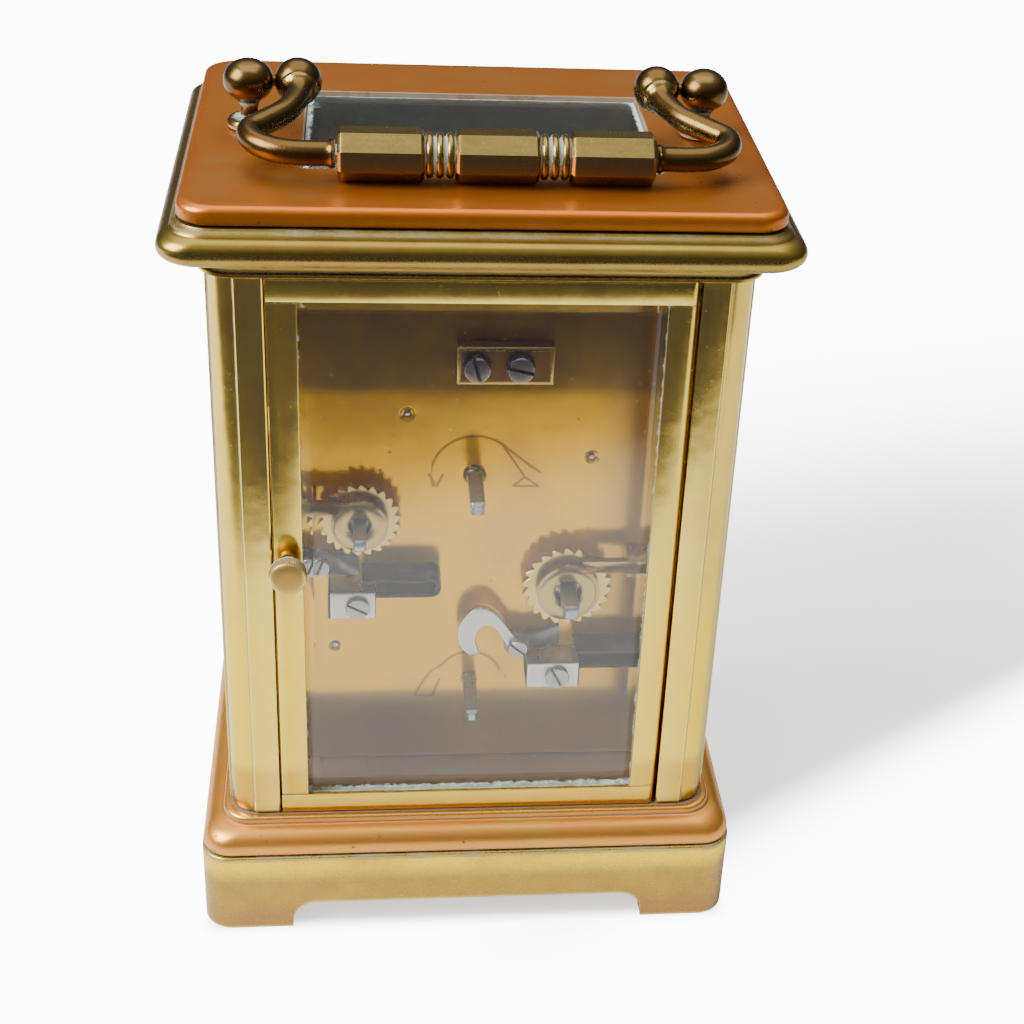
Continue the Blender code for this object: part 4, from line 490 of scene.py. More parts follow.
def makePiece(name, shape, finish, body, replaced=(), sharp=32.0, extra=None):
    mesh = bpy.data.meshes.new(name)
    points, faces, wear, grime = shape
    mesh.from_pydata(points.tolist(), [], faces)
    values = {"wear": wear, "grime": grime, **(extra or {})}
    for key, numbers in values.items():
        layer = mesh.attributes.new(key, "FLOAT", "POINT")
        layer.data.foreach_set("value", np.clip(numbers, 0, 1).astype(np.float32))
    work = bmesh.new()
    work.from_mesh(mesh)
    bmesh.ops.remove_doubles(work, verts=work.verts, dist=2e-7)
    bmesh.ops.recalc_face_normals(work, faces=work.faces)
    work.to_mesh(mesh)
    work.free()
    mesh.shade_smooth()
    mesh.set_sharp_from_angle(angle=math.radians(sharp))
    piece = bpy.data.objects.new(name, mesh)
    bpy.context.scene.collection.objects.link(piece)
    mesh.materials.append(finishes[finish])
    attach(piece, body)
    if replaced:
        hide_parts(*replaced)
        replacedNodes.update(replaced)
    return piece


def bodyOf(node):
    for body, names in frame["record"]["behaviour"]["bodies"].items():
        if node in names:
            return body
    return "case"


def refined(node, finish, sharp=35.0):
    # the body's own mesh, merged and shaded smooth, standing in for the node
    source = nodes[node]
    mesh = source.data.copy()
    mesh.transform(source.matrix_world)
    mesh.name = node + "Smooth"
    work = bmesh.new()
    work.from_mesh(mesh)
    bmesh.ops.remove_doubles(work, verts=work.verts, dist=2e-6)
    bmesh.ops.recalc_face_normals(work, faces=work.faces)
    work.to_mesh(mesh)
    work.free()
    mesh.shade_smooth()
    mesh.set_sharp_from_angle(angle=math.radians(sharp))
    mesh.materials.clear()
    mesh.materials.append(finishes[finish])
    piece = bpy.data.objects.new(node + "Smooth", mesh)
    bpy.context.scene.collection.objects.link(piece)
    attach(piece, bodyOf(node))
    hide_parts(node)
    replacedNodes.add(node)


def arcPoints(centre, radii, start, end, steps):
    # points round an ellipse from one angle to another, in degrees
    turn = np.radians(np.linspace(start, end, steps + 1))
    return np.column_stack([centre[0] + radii[0] * np.cos(turn), centre[1] + radii[1] * np.sin(turn)])


def onPlane(plane, across, up, out):
    # a drawing's two directions and its depth as places in the clock
    across, up, out = np.broadcast_arrays(across, up, out)
    order = {"XZ": (across, out, up), "XY": (across, up, out), "YZ": (out, across, up)}[plane]
    return np.stack(order, -1)


def turnedShape(profile, axis, centre, steps=48):
    # radius times the cosine and sine of the turn, with the profile's second number along the axis;
    # profile rows are (radius, along, wear, grime), and one that ends off the axis closes on itself
    rows = np.array([(*p, 0, 0)[:4] if len(p) < 4 else p for p in profile], float)
    turn = np.linspace(0, 2 * math.pi, steps, endpoint=False)
    around = rows[:, :1] * np.cos(turn)
    other = rows[:, :1] * np.sin(turn)
    along = np.repeat(rows[:, 1:2], steps, 1)
    order = {"X": (along, around, other), "Y": (around, along, other), "Z": (around, other, along)}[axis]
    points = np.stack(order, -1) + np.array(centre)
    isOpen = rows[0, 0] <= 0 and rows[-1, 0] <= 0
    return gridShape(points, rows[:, 2], rows[:, 3], closeRows=not isOpen, caps=False)


def tubeShape(route, radii, sides=20, wear=0.0, grime=0.0):
    # a circle carried along the route, turned as little as possible between its points, with rounded ends
    route = np.asarray(route, float)
    radii = np.broadcast_to(radii, len(route)).astype(float)
    along = np.gradient(route, axis=0)
    along /= np.linalg.norm(along, axis=1)[:, None]
    side = np.cross(along[0], (0.0, 0.0, 1.0))
    if np.linalg.norm(side) < 1e-6:
        side = np.cross(along[0], (0.0, 1.0, 0.0))
    turn = np.linspace(0, 2 * math.pi, sides, endpoint=False)
    rings = []
    for i in range(len(route)):
        side = side - along[i] * side.dot(along[i])
        side /= np.linalg.norm(side)
        other = np.cross(along[i], side)
        rings.append(route[i] + radii[i] * (np.outer(np.cos(turn), side) + np.outer(np.sin(turn), other)))
    return gridShape(np.array(rings), wear, grime)


def insetOutline(outline, inset):
    # every corner moved in along its half angle, by the same distance from both edges
    outline = np.asarray(outline, float)
    before = outline - np.roll(outline, 1, 0)
    after = np.roll(outline, -1, 0) - outline
    area = np.sum(outline[:, 0] * np.roll(outline[:, 1], -1) - outline[:, 1] * np.roll(outline[:, 0], -1))
    spin = 1.0 if area > 0 else -1.0
    inward = []
    for edge in (before, after):
        normal = np.column_stack([-edge[:, 1], edge[:, 0]]) * spin
        inward.append(normal / np.maximum(np.linalg.norm(normal, axis=1), 1e-12)[:, None])
    half = inward[0] + inward[1]
    scale = np.maximum(1 + np.sum(inward[0] * inward[1], 1), 0.35)
    return outline + half / scale[:, None] * inset


def slabShape(outline, plane, low, high, edge=0.0002, steps=3, rounded="both"):
    # an outline carried through its thickness, its edges rounded by a quarter circle
    rows = []
    turn = np.linspace(0, math.pi / 2, steps + 1)
    if rounded in ("both", "low"):
        rows += [(edge * (1 - math.sin(t)), low + edge * (1 - math.cos(t)), 1.0) for t in turn]
    else:
        rows += [(0.0, low, 0.3)]
    if rounded in ("both", "high"):
        rows += [(edge * (1 - math.sin(t)), high - edge * (1 - math.cos(t)), 1.0) for t in turn[::-1]]
    else:
        rows += [(0.0, high, 0.3)]
    rings = []
    for inset, level, _ in rows:
        flat = insetOutline(outline, inset)
        rings.append(onPlane(plane, flat[:, 0], flat[:, 1], level))
    # the rounded edges carry the wear; two more rows keep it off the flat faces
    first, last = rows[0][0] + edge * 1.5, rows[-1][0] + edge * 1.5
    ends = []
    for inset, level in ((first, rows[0][1]), (last, rows[-1][1])):
        flat = insetOutline(outline, inset)
        ends.append(onPlane(plane, flat[:, 0], flat[:, 1], level))
    rings = [ends[0], *rings, ends[1]]
    wear = np.array([0.0, *[row[2] for row in rows], 0.0])
    return gridShape(np.array(rings), wear)


def ringSlab(outline, hole, plane, low, high, edge=0.00012):
    # a toothed or round rim: the outline and a hole of as many points, joined by flat faces
    outline, hole = np.asarray(outline, float), np.asarray(hole, float)
    centre = hole.mean(0)
    rows = []
    for ring, sign in ((outline, -1.0), (hole, 1.0)):
        away = ring - centre
        away /= np.linalg.norm(away, axis=1)[:, None]
        levels = ((edge, low), (0.0, low + edge), (0.0, high - edge), (edge, high))
        part = [onPlane(plane, *(ring + sign * away * e).T, level) for e, level in levels]
        rows += part if sign < 0 else part[::-1]
    return gridShape(np.array(rows), np.array([1, 1, 1, 1, 0.6, 0.6, 0.6, 0.6]) * 0.8, closeRows=True)


def circleOutline(centre, radius, steps, start=0.0):
    turn = start + np.linspace(0, 2 * math.pi, steps, endpoint=False)
    return np.column_stack([centre[0] + radius * np.cos(turn), centre[1] + radius * np.sin(turn)])


def boxOutline(low, high):
    return np.array([(low[0], low[1]), (high[0], low[1]), (high[0], high[1]), (low[0], high[1])])


def blockShape(low, high, edge=0.0002, plane="XY"):
    order = {"XY": (0, 1, 2), "XZ": (0, 2, 1), "YZ": (1, 2, 0)}[plane]
    a, b, c = order
    outline = boxOutline((low[a], low[b]), (high[a], high[b]))
    return slabShape(outline, plane, low[c], high[c], edge)


def smoothRoute(points, steps):
    # a curve through the given points, each stretch a mean of two parabolas
    points = np.asarray(points, float)
    padded = np.vstack([2 * points[0] - points[1], points, 2 * points[-1] - points[-2]])
    t = np.linspace(0, 1, steps, endpoint=False)[:, None]
    pieces = []
    for a, b, c, d in zip(padded, padded[1:], padded[2:], padded[3:]):
        curve = 2 * b + (c - a) * t + (2 * a - 5 * b + 4 * c - d) * t**2 + (3 * b - a - 3 * c + d) * t**3
        pieces.append(0.5 * curve)
    return np.vstack([*pieces, points[-1:]])


# the boxes that the case pieces fit
columnLow, columnHigh = (np.array(c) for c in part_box("column_rear_right"))
plinthHigh = np.array(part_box("base_plinth")[1])
mouldLow, mouldHigh = (np.array(c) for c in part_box("base_moulding"))
corniceLow, corniceHigh = (np.array(c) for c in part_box("cornice"))
topLow, topHigh = (np.array(c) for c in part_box("top_plate"))
halfWidth, halfDepth = columnHigh[0], columnHigh[1]
caseShape = {"corner": 0.0050, "cornerSteps": 14, "columnReach": 0.0089}


def casePath(projection, stopsX=(), stopsY=(), corner=None, half=None):
    # a rounded rectangle round the body, this far out from its faces, anticlockwise from the +X side
    r = caseShape["corner"] if corner is None else corner
    hx, hy = half or (halfWidth + projection, halfDepth + projection)
    stopsX, stopsY = np.asarray(sorted(stopsX), float), np.asarray(sorted(stopsY), float)
    steps = caseShape["cornerSteps"]
    parts = []
    for k, (sx, sy, start) in enumerate(((1, 1, 0), (-1, 1, 90), (-1, -1, 180), (1, -1, 270))):
        if k % 2 == 0:
            side = np.column_stack([np.full(len(stopsY), sx * hx), stopsY if sx > 0 else stopsY[::-1]])
        else:
            side = np.column_stack([stopsX[::-1] if sy > 0 else stopsX, np.full(len(stopsX), sy * hy)])
        parts.append(side)
        parts.append(arcPoints((sx * (hx - r), sy * (hy - r)), (r, r), start, start + 90, steps))
    return np.vstack(parts)


def sweptCase(section, stopsX=(), stopsY=(), closeRows=True):
    # section rows are (projection, height, wear, grime, corner radius)
    rings = []
    for row in section:
        flat = casePath(row[0], stopsX, stopsY, row[4] if len(row) > 4 else None)
        rings.append(np.column_stack([flat, np.full(len(flat), row[1])]))
    rows = np.array([row[:4] for row in section], float)
    return gridShape(np.array(rings), rows[:, 2], rows[:, 3], closeRows=closeRows)


plinthShape = {"foot": 0.0155, "arch": 0.0042, "step": 0.0013, "wall": 0.0045, "edge": 0.0004,
               "crease": 0.0012}


def archHeight(along, half):
    # the underside: on the floor at the feet, a short step and a quarter circle up to the flat
    s = plinthShape
    inside = half - s["foot"] - s["arch"]
    away = np.clip(np.abs(along) - inside, 0, None)
    rise = s["step"] + np.sqrt(np.clip(s["arch"] ** 2 - np.minimum(away, s["arch"]) ** 2, 0, None))
    return np.where(np.abs(along) > inside + s["arch"] + 1e-6, 0.0, rise)


def makePlinth():
    s = plinthShape
    overhang = plinthHigh[0] - halfWidth
    half = (plinthHigh[0], plinthHigh[1])
    stops = []
    for reach in half:
        inside = reach - s["foot"] - s["arch"]
        bend = inside + s["arch"] * np.sin(np.linspace(0, math.pi / 2, 16))
        bend = np.append(bend, inside + s["arch"] + 0.00002)
        stops.append(np.concatenate([-bend, [0.0], bend]))
    top = plinthHigh[2]
    e = s["edge"]
    quarter = np.linspace(0, math.pi / 2, 5)
    rows = [(overhang - e * (1 - math.sin(t)), e * (1 - math.cos(t)), 0, 1.0, 0.1) for t in quarter]
    rows += [(overhang, 2 * e, 0, 0.0, 0.0), (overhang, -s["crease"], 1, 0.0, 0.1),
             (overhang, -2 * e, 1, 0.1, 0.5)]
    rows += [(overhang - e * (1 - math.sin(t)), -e * (1 - math.cos(t)), 1, 0.9, 0.6) for t in quarter[::-1]]
    rows += [(overhang - s["wall"], 0, 1, 0.0, 0.8), (overhang - s["wall"], -0.003, 1, 0.0, 0.3)]
    rows += [(overhang - s["wall"], 0, 0, 0.0, 0.3)]
    rings, wear, grime = [], [], []
    for projection, offset, high, w, g in rows:
        flat = casePath(projection, stops[0], stops[1])
        onX = np.abs(flat[:, 1]) >= halfDepth + projection - 1e-6
        low = np.where(onX, archHeight(flat[:, 0], half[0]), archHeight(flat[:, 1], half[1]))
        level = top + offset if high else low + offset
        rings.append(np.column_stack([flat, np.broadcast_to(level, len(flat))]))
        wear.append(w)
        grime.append(g)
    shape = gridShape(np.array(rings), np.array(wear), np.array(grime), closeRows=True)
    makePiece("plinthBand", shape, "plinth", "case", ["base_plinth"])


def makeMoulding():
    low, top = mouldLow[2], mouldHigh[2]
    floor = top - 0.0030
    out = mouldHigh[0] - halfWidth
    bulge = arcPoints((0.0014, low + 0.0009), (out - 0.0014, 0.0033), 0, 90, 16)
    section = [(out - 0.0002, low, 0.2, 0.7), (out, low + 0.0002, 0.4, 0.6)]
    section += [(x, z, 0.0 if 0.12 < k / 16 < 0.9 else 0.25, 0.0) for k, (x, z) in enumerate(bulge)]
    section += [(0.00125, low + 0.0043, 0.1, 0.7), (0.00120, low + 0.0045, 0.0, 0.6),
                (0.00115, top - 0.0004, 0.3, 0.0)]
    section += [(0.0010, top - 0.00012, 0.9, 0.0), (0.0008, top, 0.9, 0.0), (0.0004, top, 0.1, 0.2)]
    section += [(0.0, top, 0.0, 0.9), (-0.0006, top, 0.0, 0.9), (-0.0030, top, 0.0, 0.4),
                (-0.0040, top, 0.0, 0.1)]
    section += [(-0.012, top, 0.0, 0.1, 0.002), (-0.012, floor, 0, 0.1, 0.002),
                (out - 0.0045, floor, 0, 0.2, 0.001)]
    section += [(out - 0.0045, low, 0, 0.2, 0.001)]
    ring = sweptCase(section)
    hx, hy = halfWidth - 0.0119, halfDepth - 0.0119
    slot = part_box("alarm_hammer")
    gap = 0.5 * (slot[0][1] + slot[1][1])
    plates = []
    # the floor inside the ring, left open where the hammer's stem passes through it
    x0, x1 = 0.0180, 0.0262
    for a, b in (((-hx, -hy), (x0, hy)), ((x1, -hy), (hx, hy))):
        if b[0] > a[0]:
            plates.append(blockShape((a[0], a[1], floor), (b[0], b[1], top), 0.0001))
    for a, b in (((x0, -hy), (min(x1, hx), gap - 0.0016)), ((x0, gap + 0.0016), (min(x1, hx), hy))):
        plates.append(blockShape((a[0], a[1], floor), (b[0], b[1], top), 0.0001))
    for plate in plates:
        plate[3][:] = 0.2
    whole = joinShapes(ring, *plates)
    # painted shade: the moulding's floor and inner rows, deep inside the case, are marked to be painted dark
    paintedShadeInside = (np.abs(whole[0][:, 0]) < halfWidth - 0.0035) & (np.abs(whole[0][:, 1]) < halfDepth - 0.0035)
    makePiece("baseMoulding", whole, "moulding", "case", ["base_moulding"],
              extra={"inside": paintedShadeInside.astype(float)})


columnShape = {"round": 0.0045, "fillet": 0.00045, "reach": 0.0089, "leg": 0.0046, "edge": 0.00018}


def makeColumns():
    # an L seen from above: flat strips beside a rounded corner between two small steps
    s = columnShape
    hx, hy, r = halfWidth, halfDepth, s["round"]
    inX, inY = hx - s["reach"], hy - s["reach"]
    cx, cy = hx - r, hy - r
    bend = arcPoints((cx, cy), (r - s["fillet"],) * 2, 90, 0, 18)
    outer = [(inX + 0.0003, hy), (cx - 0.0004, hy), (cx - 0.00012, hy - 0.00003), (cx, hy - 0.00014)]
    outer += [(cx + 0.00004, hy - s["fillet"] + 0.0001)]
    outer += [tuple(p) for p in bend[1:-1]]
    outer += [(hx - s["fillet"] + 0.0001, cy + 0.00004), (hx - 0.00014, cy), (hx - 0.00003, cy - 0.00012)]
    outer += [(hx, cy - 0.0004), (hx, inY + 0.0003), (hx - 0.0001, inY + 0.0001), (hx - 0.0004, inY)]
    outer += [(hx - s["leg"] + 0.0002, inY), (hx - s["leg"], inY + 0.0002), (hx - s["leg"], hy - s["leg"])]
    outer += [(inX + 0.0002, hy - s["leg"]), (inX, hy - s["leg"] + 0.0002), (inX, hy - 0.0004),
              (inX + 0.0001, hy - 0.0001)]
    outline = np.array(outer)
    wear = np.zeros(len(outline))
    grime = np.zeros(len(outline))
    wear[[0, 1, 2, 3]] = (0.9, 0.2, 1.0, 0.7)
    grime[[3, 4]] = (0.3, 0.9)
    last = 5 + len(bend) - 2
    wear[[last + 1, last + 2, last + 3, last + 4, last + 5]] = (0.7, 1.0, 0.2, 0.6, 0.9)
    grime[[last, last + 1]] = (0.9, 0.3)
    wear[-1] = 0.9
    low, high = columnLow[2], columnHigh[2]
    e = s["edge"]
    levels = [(e, low), (0, low + e), (0, low + 0.004), (0, high - 0.004), (0, high - e), (e, high)]
    foot = [0.9, 0.7, 0.0, 0.0, 0.5, 0.8]
    for side, sx in (("left", -1), ("right", 1)):
        for end, sy in (("rear", 1), ("front", -1)):
            rings = []
            for inset, z in levels:
                flat = insetOutline(outline, inset) * (sx, sy)
                rings.append(onPlane("XY", flat[:, 0], flat[:, 1], z))
            shape = gridShape(np.array(rings), np.broadcast_to(wear, (6, len(wear))),
                              np.maximum(grime[None, :], np.array(foot)[:, None] * 0.7))
            makePiece(f"column{end.title()}{side.title()}", shape, "case", "case", [f"column_{end}_{side}"],
                      25)


def makeCornice():
    low, top = corniceLow[2], corniceHigh[2]
    out = corniceHigh[0] - halfWidth
    cove = arcPoints((0.0018, low + 0.0008), (0.0014, 0.0019), 180, 90, 8)
    bulge = arcPoints((0.0038, low + 0.0055), (out - 0.0038, 0.0023), -90, 78, 24)
    section = [(0.0003, low, 0, 0.6), (0.0007, low, 0.3, 0.1), (0.0008, low + 0.0001, 0.8, 0),
               (0.0008, low + 0.0005, 0.7, 0)]
    section += [(0.00065, low + 0.00068, 0.3, 0.2), (0.0004, low + 0.0008, 0, 0.9)]
    section += [(x, z, 0, 0.25) for x, z in cove[1:]]
    section += [(0.0019, low + 0.0028, 0.9, 0), (0.0019, low + 0.0030, 0.8, 0),
                (0.0020, low + 0.0032, 0, 0.9)]
    section += [(x, z, 0.35 * math.exp(-((z - low - 0.0055) / 0.0008) ** 2), 0.0) for x, z in bulge]
    section += [(0.0040, top - 0.0006, 0, 0.6), (0.0036, top - 0.0004, 0.2, 0.5), (0.0033, top, 0, 0.5)]
    inner = -caseShape["columnReach"]
    section += [(inner, top, 0, 0.5, 0.001), (inner, low, 0, 0.5, 0.001)]
    makePiece("corniceBand", sweptCase(section), "cornice", "case", ["cornice"])


def makeTop():
    low, top = topLow[2], topHigh[2]
    out = topHigh[0] - halfWidth
    glassLow, glassHigh = (np.array(c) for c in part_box("top_glass"))
    section = [(out - 0.0004, low, 0, 0.8), (out - 0.0001, low + 0.0001, 0.3, 0.5),
               (out, low + 0.0003, 0.2, 0.2)]
    section += [(out, top - 0.0014, 0.1, 0.0)]
    section += [(x, z, 0.75, 0.0) for x,
                z in arcPoints((out - 0.0012, top - 0.0012), (0.0012, 0.0012), 10, 90, 9)]
    section += [(out - 0.0024, top, 0.1, 0.0), (out - 0.0060, top, 0.0, 0.0)]
    rings = []
    for row in section:
        flat = casePath(row[0])
        rings.append(np.column_stack([flat, np.full(len(flat), row[1])]))
    wear, grime = [row[2] for row in section], [row[3] for row in section]
    hole = glassHigh[:2] + 0.0001
    ledge = glassLow[2] - 0.0001
    inner = [(-0.0006, top, 0.0, 0.1), (-0.0002, top, 0.0, 0.75), (0.0, top - 0.0001, 0.1, 0.8),
             (0.0, ledge, 0, 0.8)]
    inner += [(0.0010, ledge, 0, 0.9), (0.0010, low, 0, 0.3)]
    for inset, z, w, g in inner:
        half = (hole[0] - inset, hole[1] - inset)
        flat = casePath(0, corner=0.0003, half=half)
        rings.append(np.column_stack([flat, np.full(len(flat), z)]))
        wear.append(w)
        grime.append(g)
    shape = gridShape(np.array(rings), np.array(wear), np.array(grime), closeRows=True)
    makePiece("topPlate", shape, "lacquer", "case", ["top_plate"])


# a pane has a flat back, a bevelled face and polished edges
paneShape = {"bevel": 0.0026, "bevelDepth": 0.0007, "edgeBand": 0.0011}


def paneMesh(name, node, plane, faceHigh, finish, body):
    low, high = (np.array(c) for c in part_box(node))
    a, b, c = {"XY": (0, 1, 2), "XZ": (0, 2, 1), "YZ": (1, 2, 0)}[plane]
    back, face = (low[c], high[c]) if faceHigh else (high[c], low[c])
    toward = 1.0 if faceHigh else -1.0
    s = paneShape
    half = np.array([high[a] - low[a], high[b] - low[b]]) / 2
    middle = np.array([high[a] + low[a], high[b] + low[b]]) / 2
    rows = [(0.006, back, 0.0), (s["edgeBand"] * 1.6, back, 0.35), (0.00008, back, 1.0),
            (0.0, back + toward * 0.00008, 1.0)]
    rim = face - toward * s["bevelDepth"]
    rows += [(0.0, rim - toward * 0.00006, 1.0), (0.00006, rim, 1.0), (s["edgeBand"] * 1.3, None, 0.45)]
    rows += [(s["bevel"] - 0.00008, None, 0.12), (s["bevel"] + 0.00008, face, 0.05), (0.006, face, 0.0)]
    rings, edge = [], []
    for inset, level, e in rows:
        if level is None:
            level = rim + toward * s["bevelDepth"] * inset / s["bevel"]
        reach = half - inset
        flat = middle + boxOutline(-reach, reach)
        rings.append(onPlane(plane, flat[:, 0], flat[:, 1], level))
        edge += [e] * 4
    shape = gridShape(np.array(rings))
    return makePiece(name, shape, finish, body, [node], sharp=1.0, extra={"edge": np.array(edge)})


def makePanes():
    paneMesh("paneTop", "top_glass", "XY", True, "topPane", "case")
    paneMesh("paneLeft", "left_glass", "YZ", False, "pane", "case")
    paneMesh("paneRight", "right_glass", "YZ", True, "pane", "case")
    paneMesh("paneFront", "front_glass", "XZ", False, "pane", "case")
    paneMesh("paneDoor", "door_glass", "XZ", True, "pane", "rear_door")


# two rails right across the door and two stiles between them
doorShape = {"stile": 0.0045, "rail": 0.0039, "ledge": 0.0010, "edge": 0.00022, "joint": 0.00003,
             "corner": 0.0013}


def doorBar(section, stations, along):
    # a closed section carried straight along X or Z; section[station] holds the (across, outward) points
    rings = []
    for at, points in zip(stations, section):
        if along == "X":
            rings.append(np.column_stack([np.full(len(points), at), points[:, 1], points[:, 0]]))
        else:
            rings.append(np.column_stack([points[:, 0], points[:, 1], np.full(len(points), at)]))
    return np.array(rings)


def makeDoor():
    s = doorShape
    low, high = (np.array(c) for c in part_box("door_frame"))
    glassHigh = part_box("door_glass")[1][1]
    e = s["edge"]

    def section(outerEdge, width, sign, roundTo=None):
        # across from the door's outer edge inwards, with the rebate that the pane sits in
        step = 0.00006
        inner = outerEdge + sign * width
        rebate = inner - sign * s["ledge"]
        points = [(outerEdge, low[1] + e), (outerEdge + sign * step, low[1] + step),
                  (outerEdge + sign * e, low[1])]
        points += [(rebate - sign * e, low[1]), (rebate, low[1] + step)]
        points += [(rebate, glassHigh + 0.0001), (inner - sign * step, glassHigh + 0.0001),
                   (inner, glassHigh + 0.0002)]
        points += [(inner, high[1] - e), (inner - sign * step, high[1] - step), (inner - sign * e, high[1])]
        points += [(outerEdge + sign * 0.0014, high[1]), (outerEdge + sign * e, high[1])]
        points += [(outerEdge + sign * step, high[1] - step), (outerEdge, high[1] - e)]
        wear = [0.3, 0.3, 0.3, 0.2, 0, 0, 0.2, 0.3, 0.9, 1.0, 0.6, 0.0, 0.6, 1.0, 0.8]
        grime = [0, 0, 0, 0, 0, 0.3, 0.9, 1.0, 0.35, 0, 0, 0, 0, 0.1, 0.5]
        return np.array(points), np.array(wear), np.array(grime)

    pinX = low[0] + s["corner"]
    pinY = high[1] - s["corner"]

    def rounded(points, x):
        # the hinge corner seen from above is a quarter circle about the pin
        if x >= pinX:
            return points
        limit = pinY + math.sqrt(max(s["corner"] ** 2 - (pinX - x) ** 2, 0))
        return np.column_stack([points[:, 0], np.minimum(points[:, 1], np.maximum(limit, low[1] + 0.003))])

    shapes = []
    turn = np.linspace(0, math.pi / 2, 9)
    ends = low[0] + s["corner"] * (1 - np.cos(turn))
    xs = np.concatenate([ends, [0.0, high[0] - 0.0012, high[0] - e, high[0] - 0.00006, high[0]]])
    for edge, sign in ((low[2], 1.0), (high[2], -1.0)):
        points, wear, grime = section(edge, s["rail"], sign)
        rings = doorBar([rounded(points, x) for x in xs], xs, "X")
        endWear = np.zeros(len(xs))
        endWear[[0, -1, -2]] = 0.8
        shapes.append(gridShape(rings, np.maximum(wear[None, :], endWear[:, None] * 0.6),
                                np.broadcast_to(grime, (len(xs), len(grime)))))
    zs = np.array([low[2] + s["rail"] + s["joint"], low[2] + s["rail"] + 0.0012, 0.5 * (low[2] + high[2]),
                   high[2] - s["rail"] - 0.0012, high[2] - s["rail"] - s["joint"]])
    jointGrime = np.array([0.9, 0.0, 0.0, 0.0, 0.9])
    for edge, sign in ((low[0], 1.0), (high[0], -1.0)):
        points, wear, grime = section(edge, s["stile"], sign)
        if sign > 0:
            bend = arcPoints((pinX, pinY), (s["corner"],) * 2, 90, 180, 8)
            points = np.vstack([points[:11], bend])
            wear = np.concatenate([wear[:11], np.full(9, 0.3)])
            grime = np.concatenate([grime[:11], np.zeros(9)])
        rings = doorBar([points] * len(zs), zs, "Z")
        shapes.append(gridShape(rings, np.broadcast_to(wear, (len(zs), len(wear))),
                                np.maximum(grime[None, :], jointGrime[:, None] * 0.6)))
    makePiece("doorFrame", joinShapes(*shapes), "case", "rear_door", ["door_frame"], 25)


knobShape = {"radius": 0.0030, "teeth": 54, "toothDepth": 0.00010, "dome": 0.00022, "knurlLow": 0.0028,
             "knurlHigh": 0.0044}


def makeKnob():
    s = knobShape
    low, high = (np.array(c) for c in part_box("door_knob"))
    centre = ((low[0] + high[0]) / 2, 0.0, (low[2] + high[2]) / 2)
    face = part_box("door_frame")[1][1]
    tip = high[1]
    r = s["radius"] - s["toothDepth"]
    body = [(0, tip - 0.00002, 0, 0), (0.0012, tip - 0.00003, 0, 0), (0.0021, tip - 0.00008, 0, 0)]
    body += [(r - 0.0004, tip - s["dome"], 0.3, 0.0), (r - 0.00015, tip - 0.00034, 0.9, 0),
             (r, tip - 0.0005, 0.5, 0.6)]
    body += [(r, face + 0.0023, 0.2, 0.8), (r - 0.0003, face + 0.0019, 0.4, 0.2),
             (0.0017, face + 0.0014, 0, 0.5)]
    body += [(0.0015, face + 0.0009, 0, 0.2), (0.0017, face + 0.0003, 0.2, 0.9),
             (0.0009, face + 0.0003, 0, 0.9)]
    body += [(0.0009, low[1], 0, 0.4), (0, low[1], 0, 0.4)]
    shape = turnedShape(body, "Y", centre, 64)
    turn = np.linspace(0, 2 * math.pi, s["teeth"] * 4, endpoint=False)
    wave = np.abs(((turn * s["teeth"] / (2 * math.pi)) % 1) * 2 - 1)
    levels = np.linspace(face + s["knurlLow"] - 0.0004, face + s["knurlHigh"] - 0.0002, 6)
    rows, wear = [], []
    for k, y in enumerate(levels):
        slant = turn + k * 0.012
        reach = r - 0.00006 + (wave * s["toothDepth"] * 1.6 if 0 < k < 5 else 0)
        rows.append(np.column_stack([centre[0] + reach * np.cos(slant), np.full(len(turn), y),
                                     centre[2] + reach * np.sin(slant)]))
        wear.append(wave * (0.9 if 0 < k < 5 else 0))
    knurl = gridShape(np.array(rows), np.array(wear), 0.4 - 0.4 * np.array(wear))
    makePiece("doorKnob", joinShapes(shape, knurl), "knob", "rear_door", ["door_knob"])


print("case pieces next")
makePlinth()
makeMoulding()
makeColumns()
makeCornice()
makeTop()
makePanes()
makeDoor()
makeKnob()
print("case done")


handleShape = {
    "knuckle": 0.00365, "arm": 0.0019, "collar": 0.0029, "reach": 0.0223, "lean": 0.0016, "gripHalf": 0.0235,
    "grip": 0.00405, "neck": 0.0028, "neckLength": 0.0046, "middle": 0.0124, "post": 0.0039,
    "postHeight": 0.0034,
}


def handlePlace(across, reach, pivot, dip):
    s = handleShape
    across, reach = np.asarray(across, float), np.asarray(reach, float)
    shift = -s["lean"] * np.minimum(1.0, reach / s["reach"])
    return np.stack([across + shift, reach * math.cos(dip), pivot - reach * math.sin(dip)], -1)


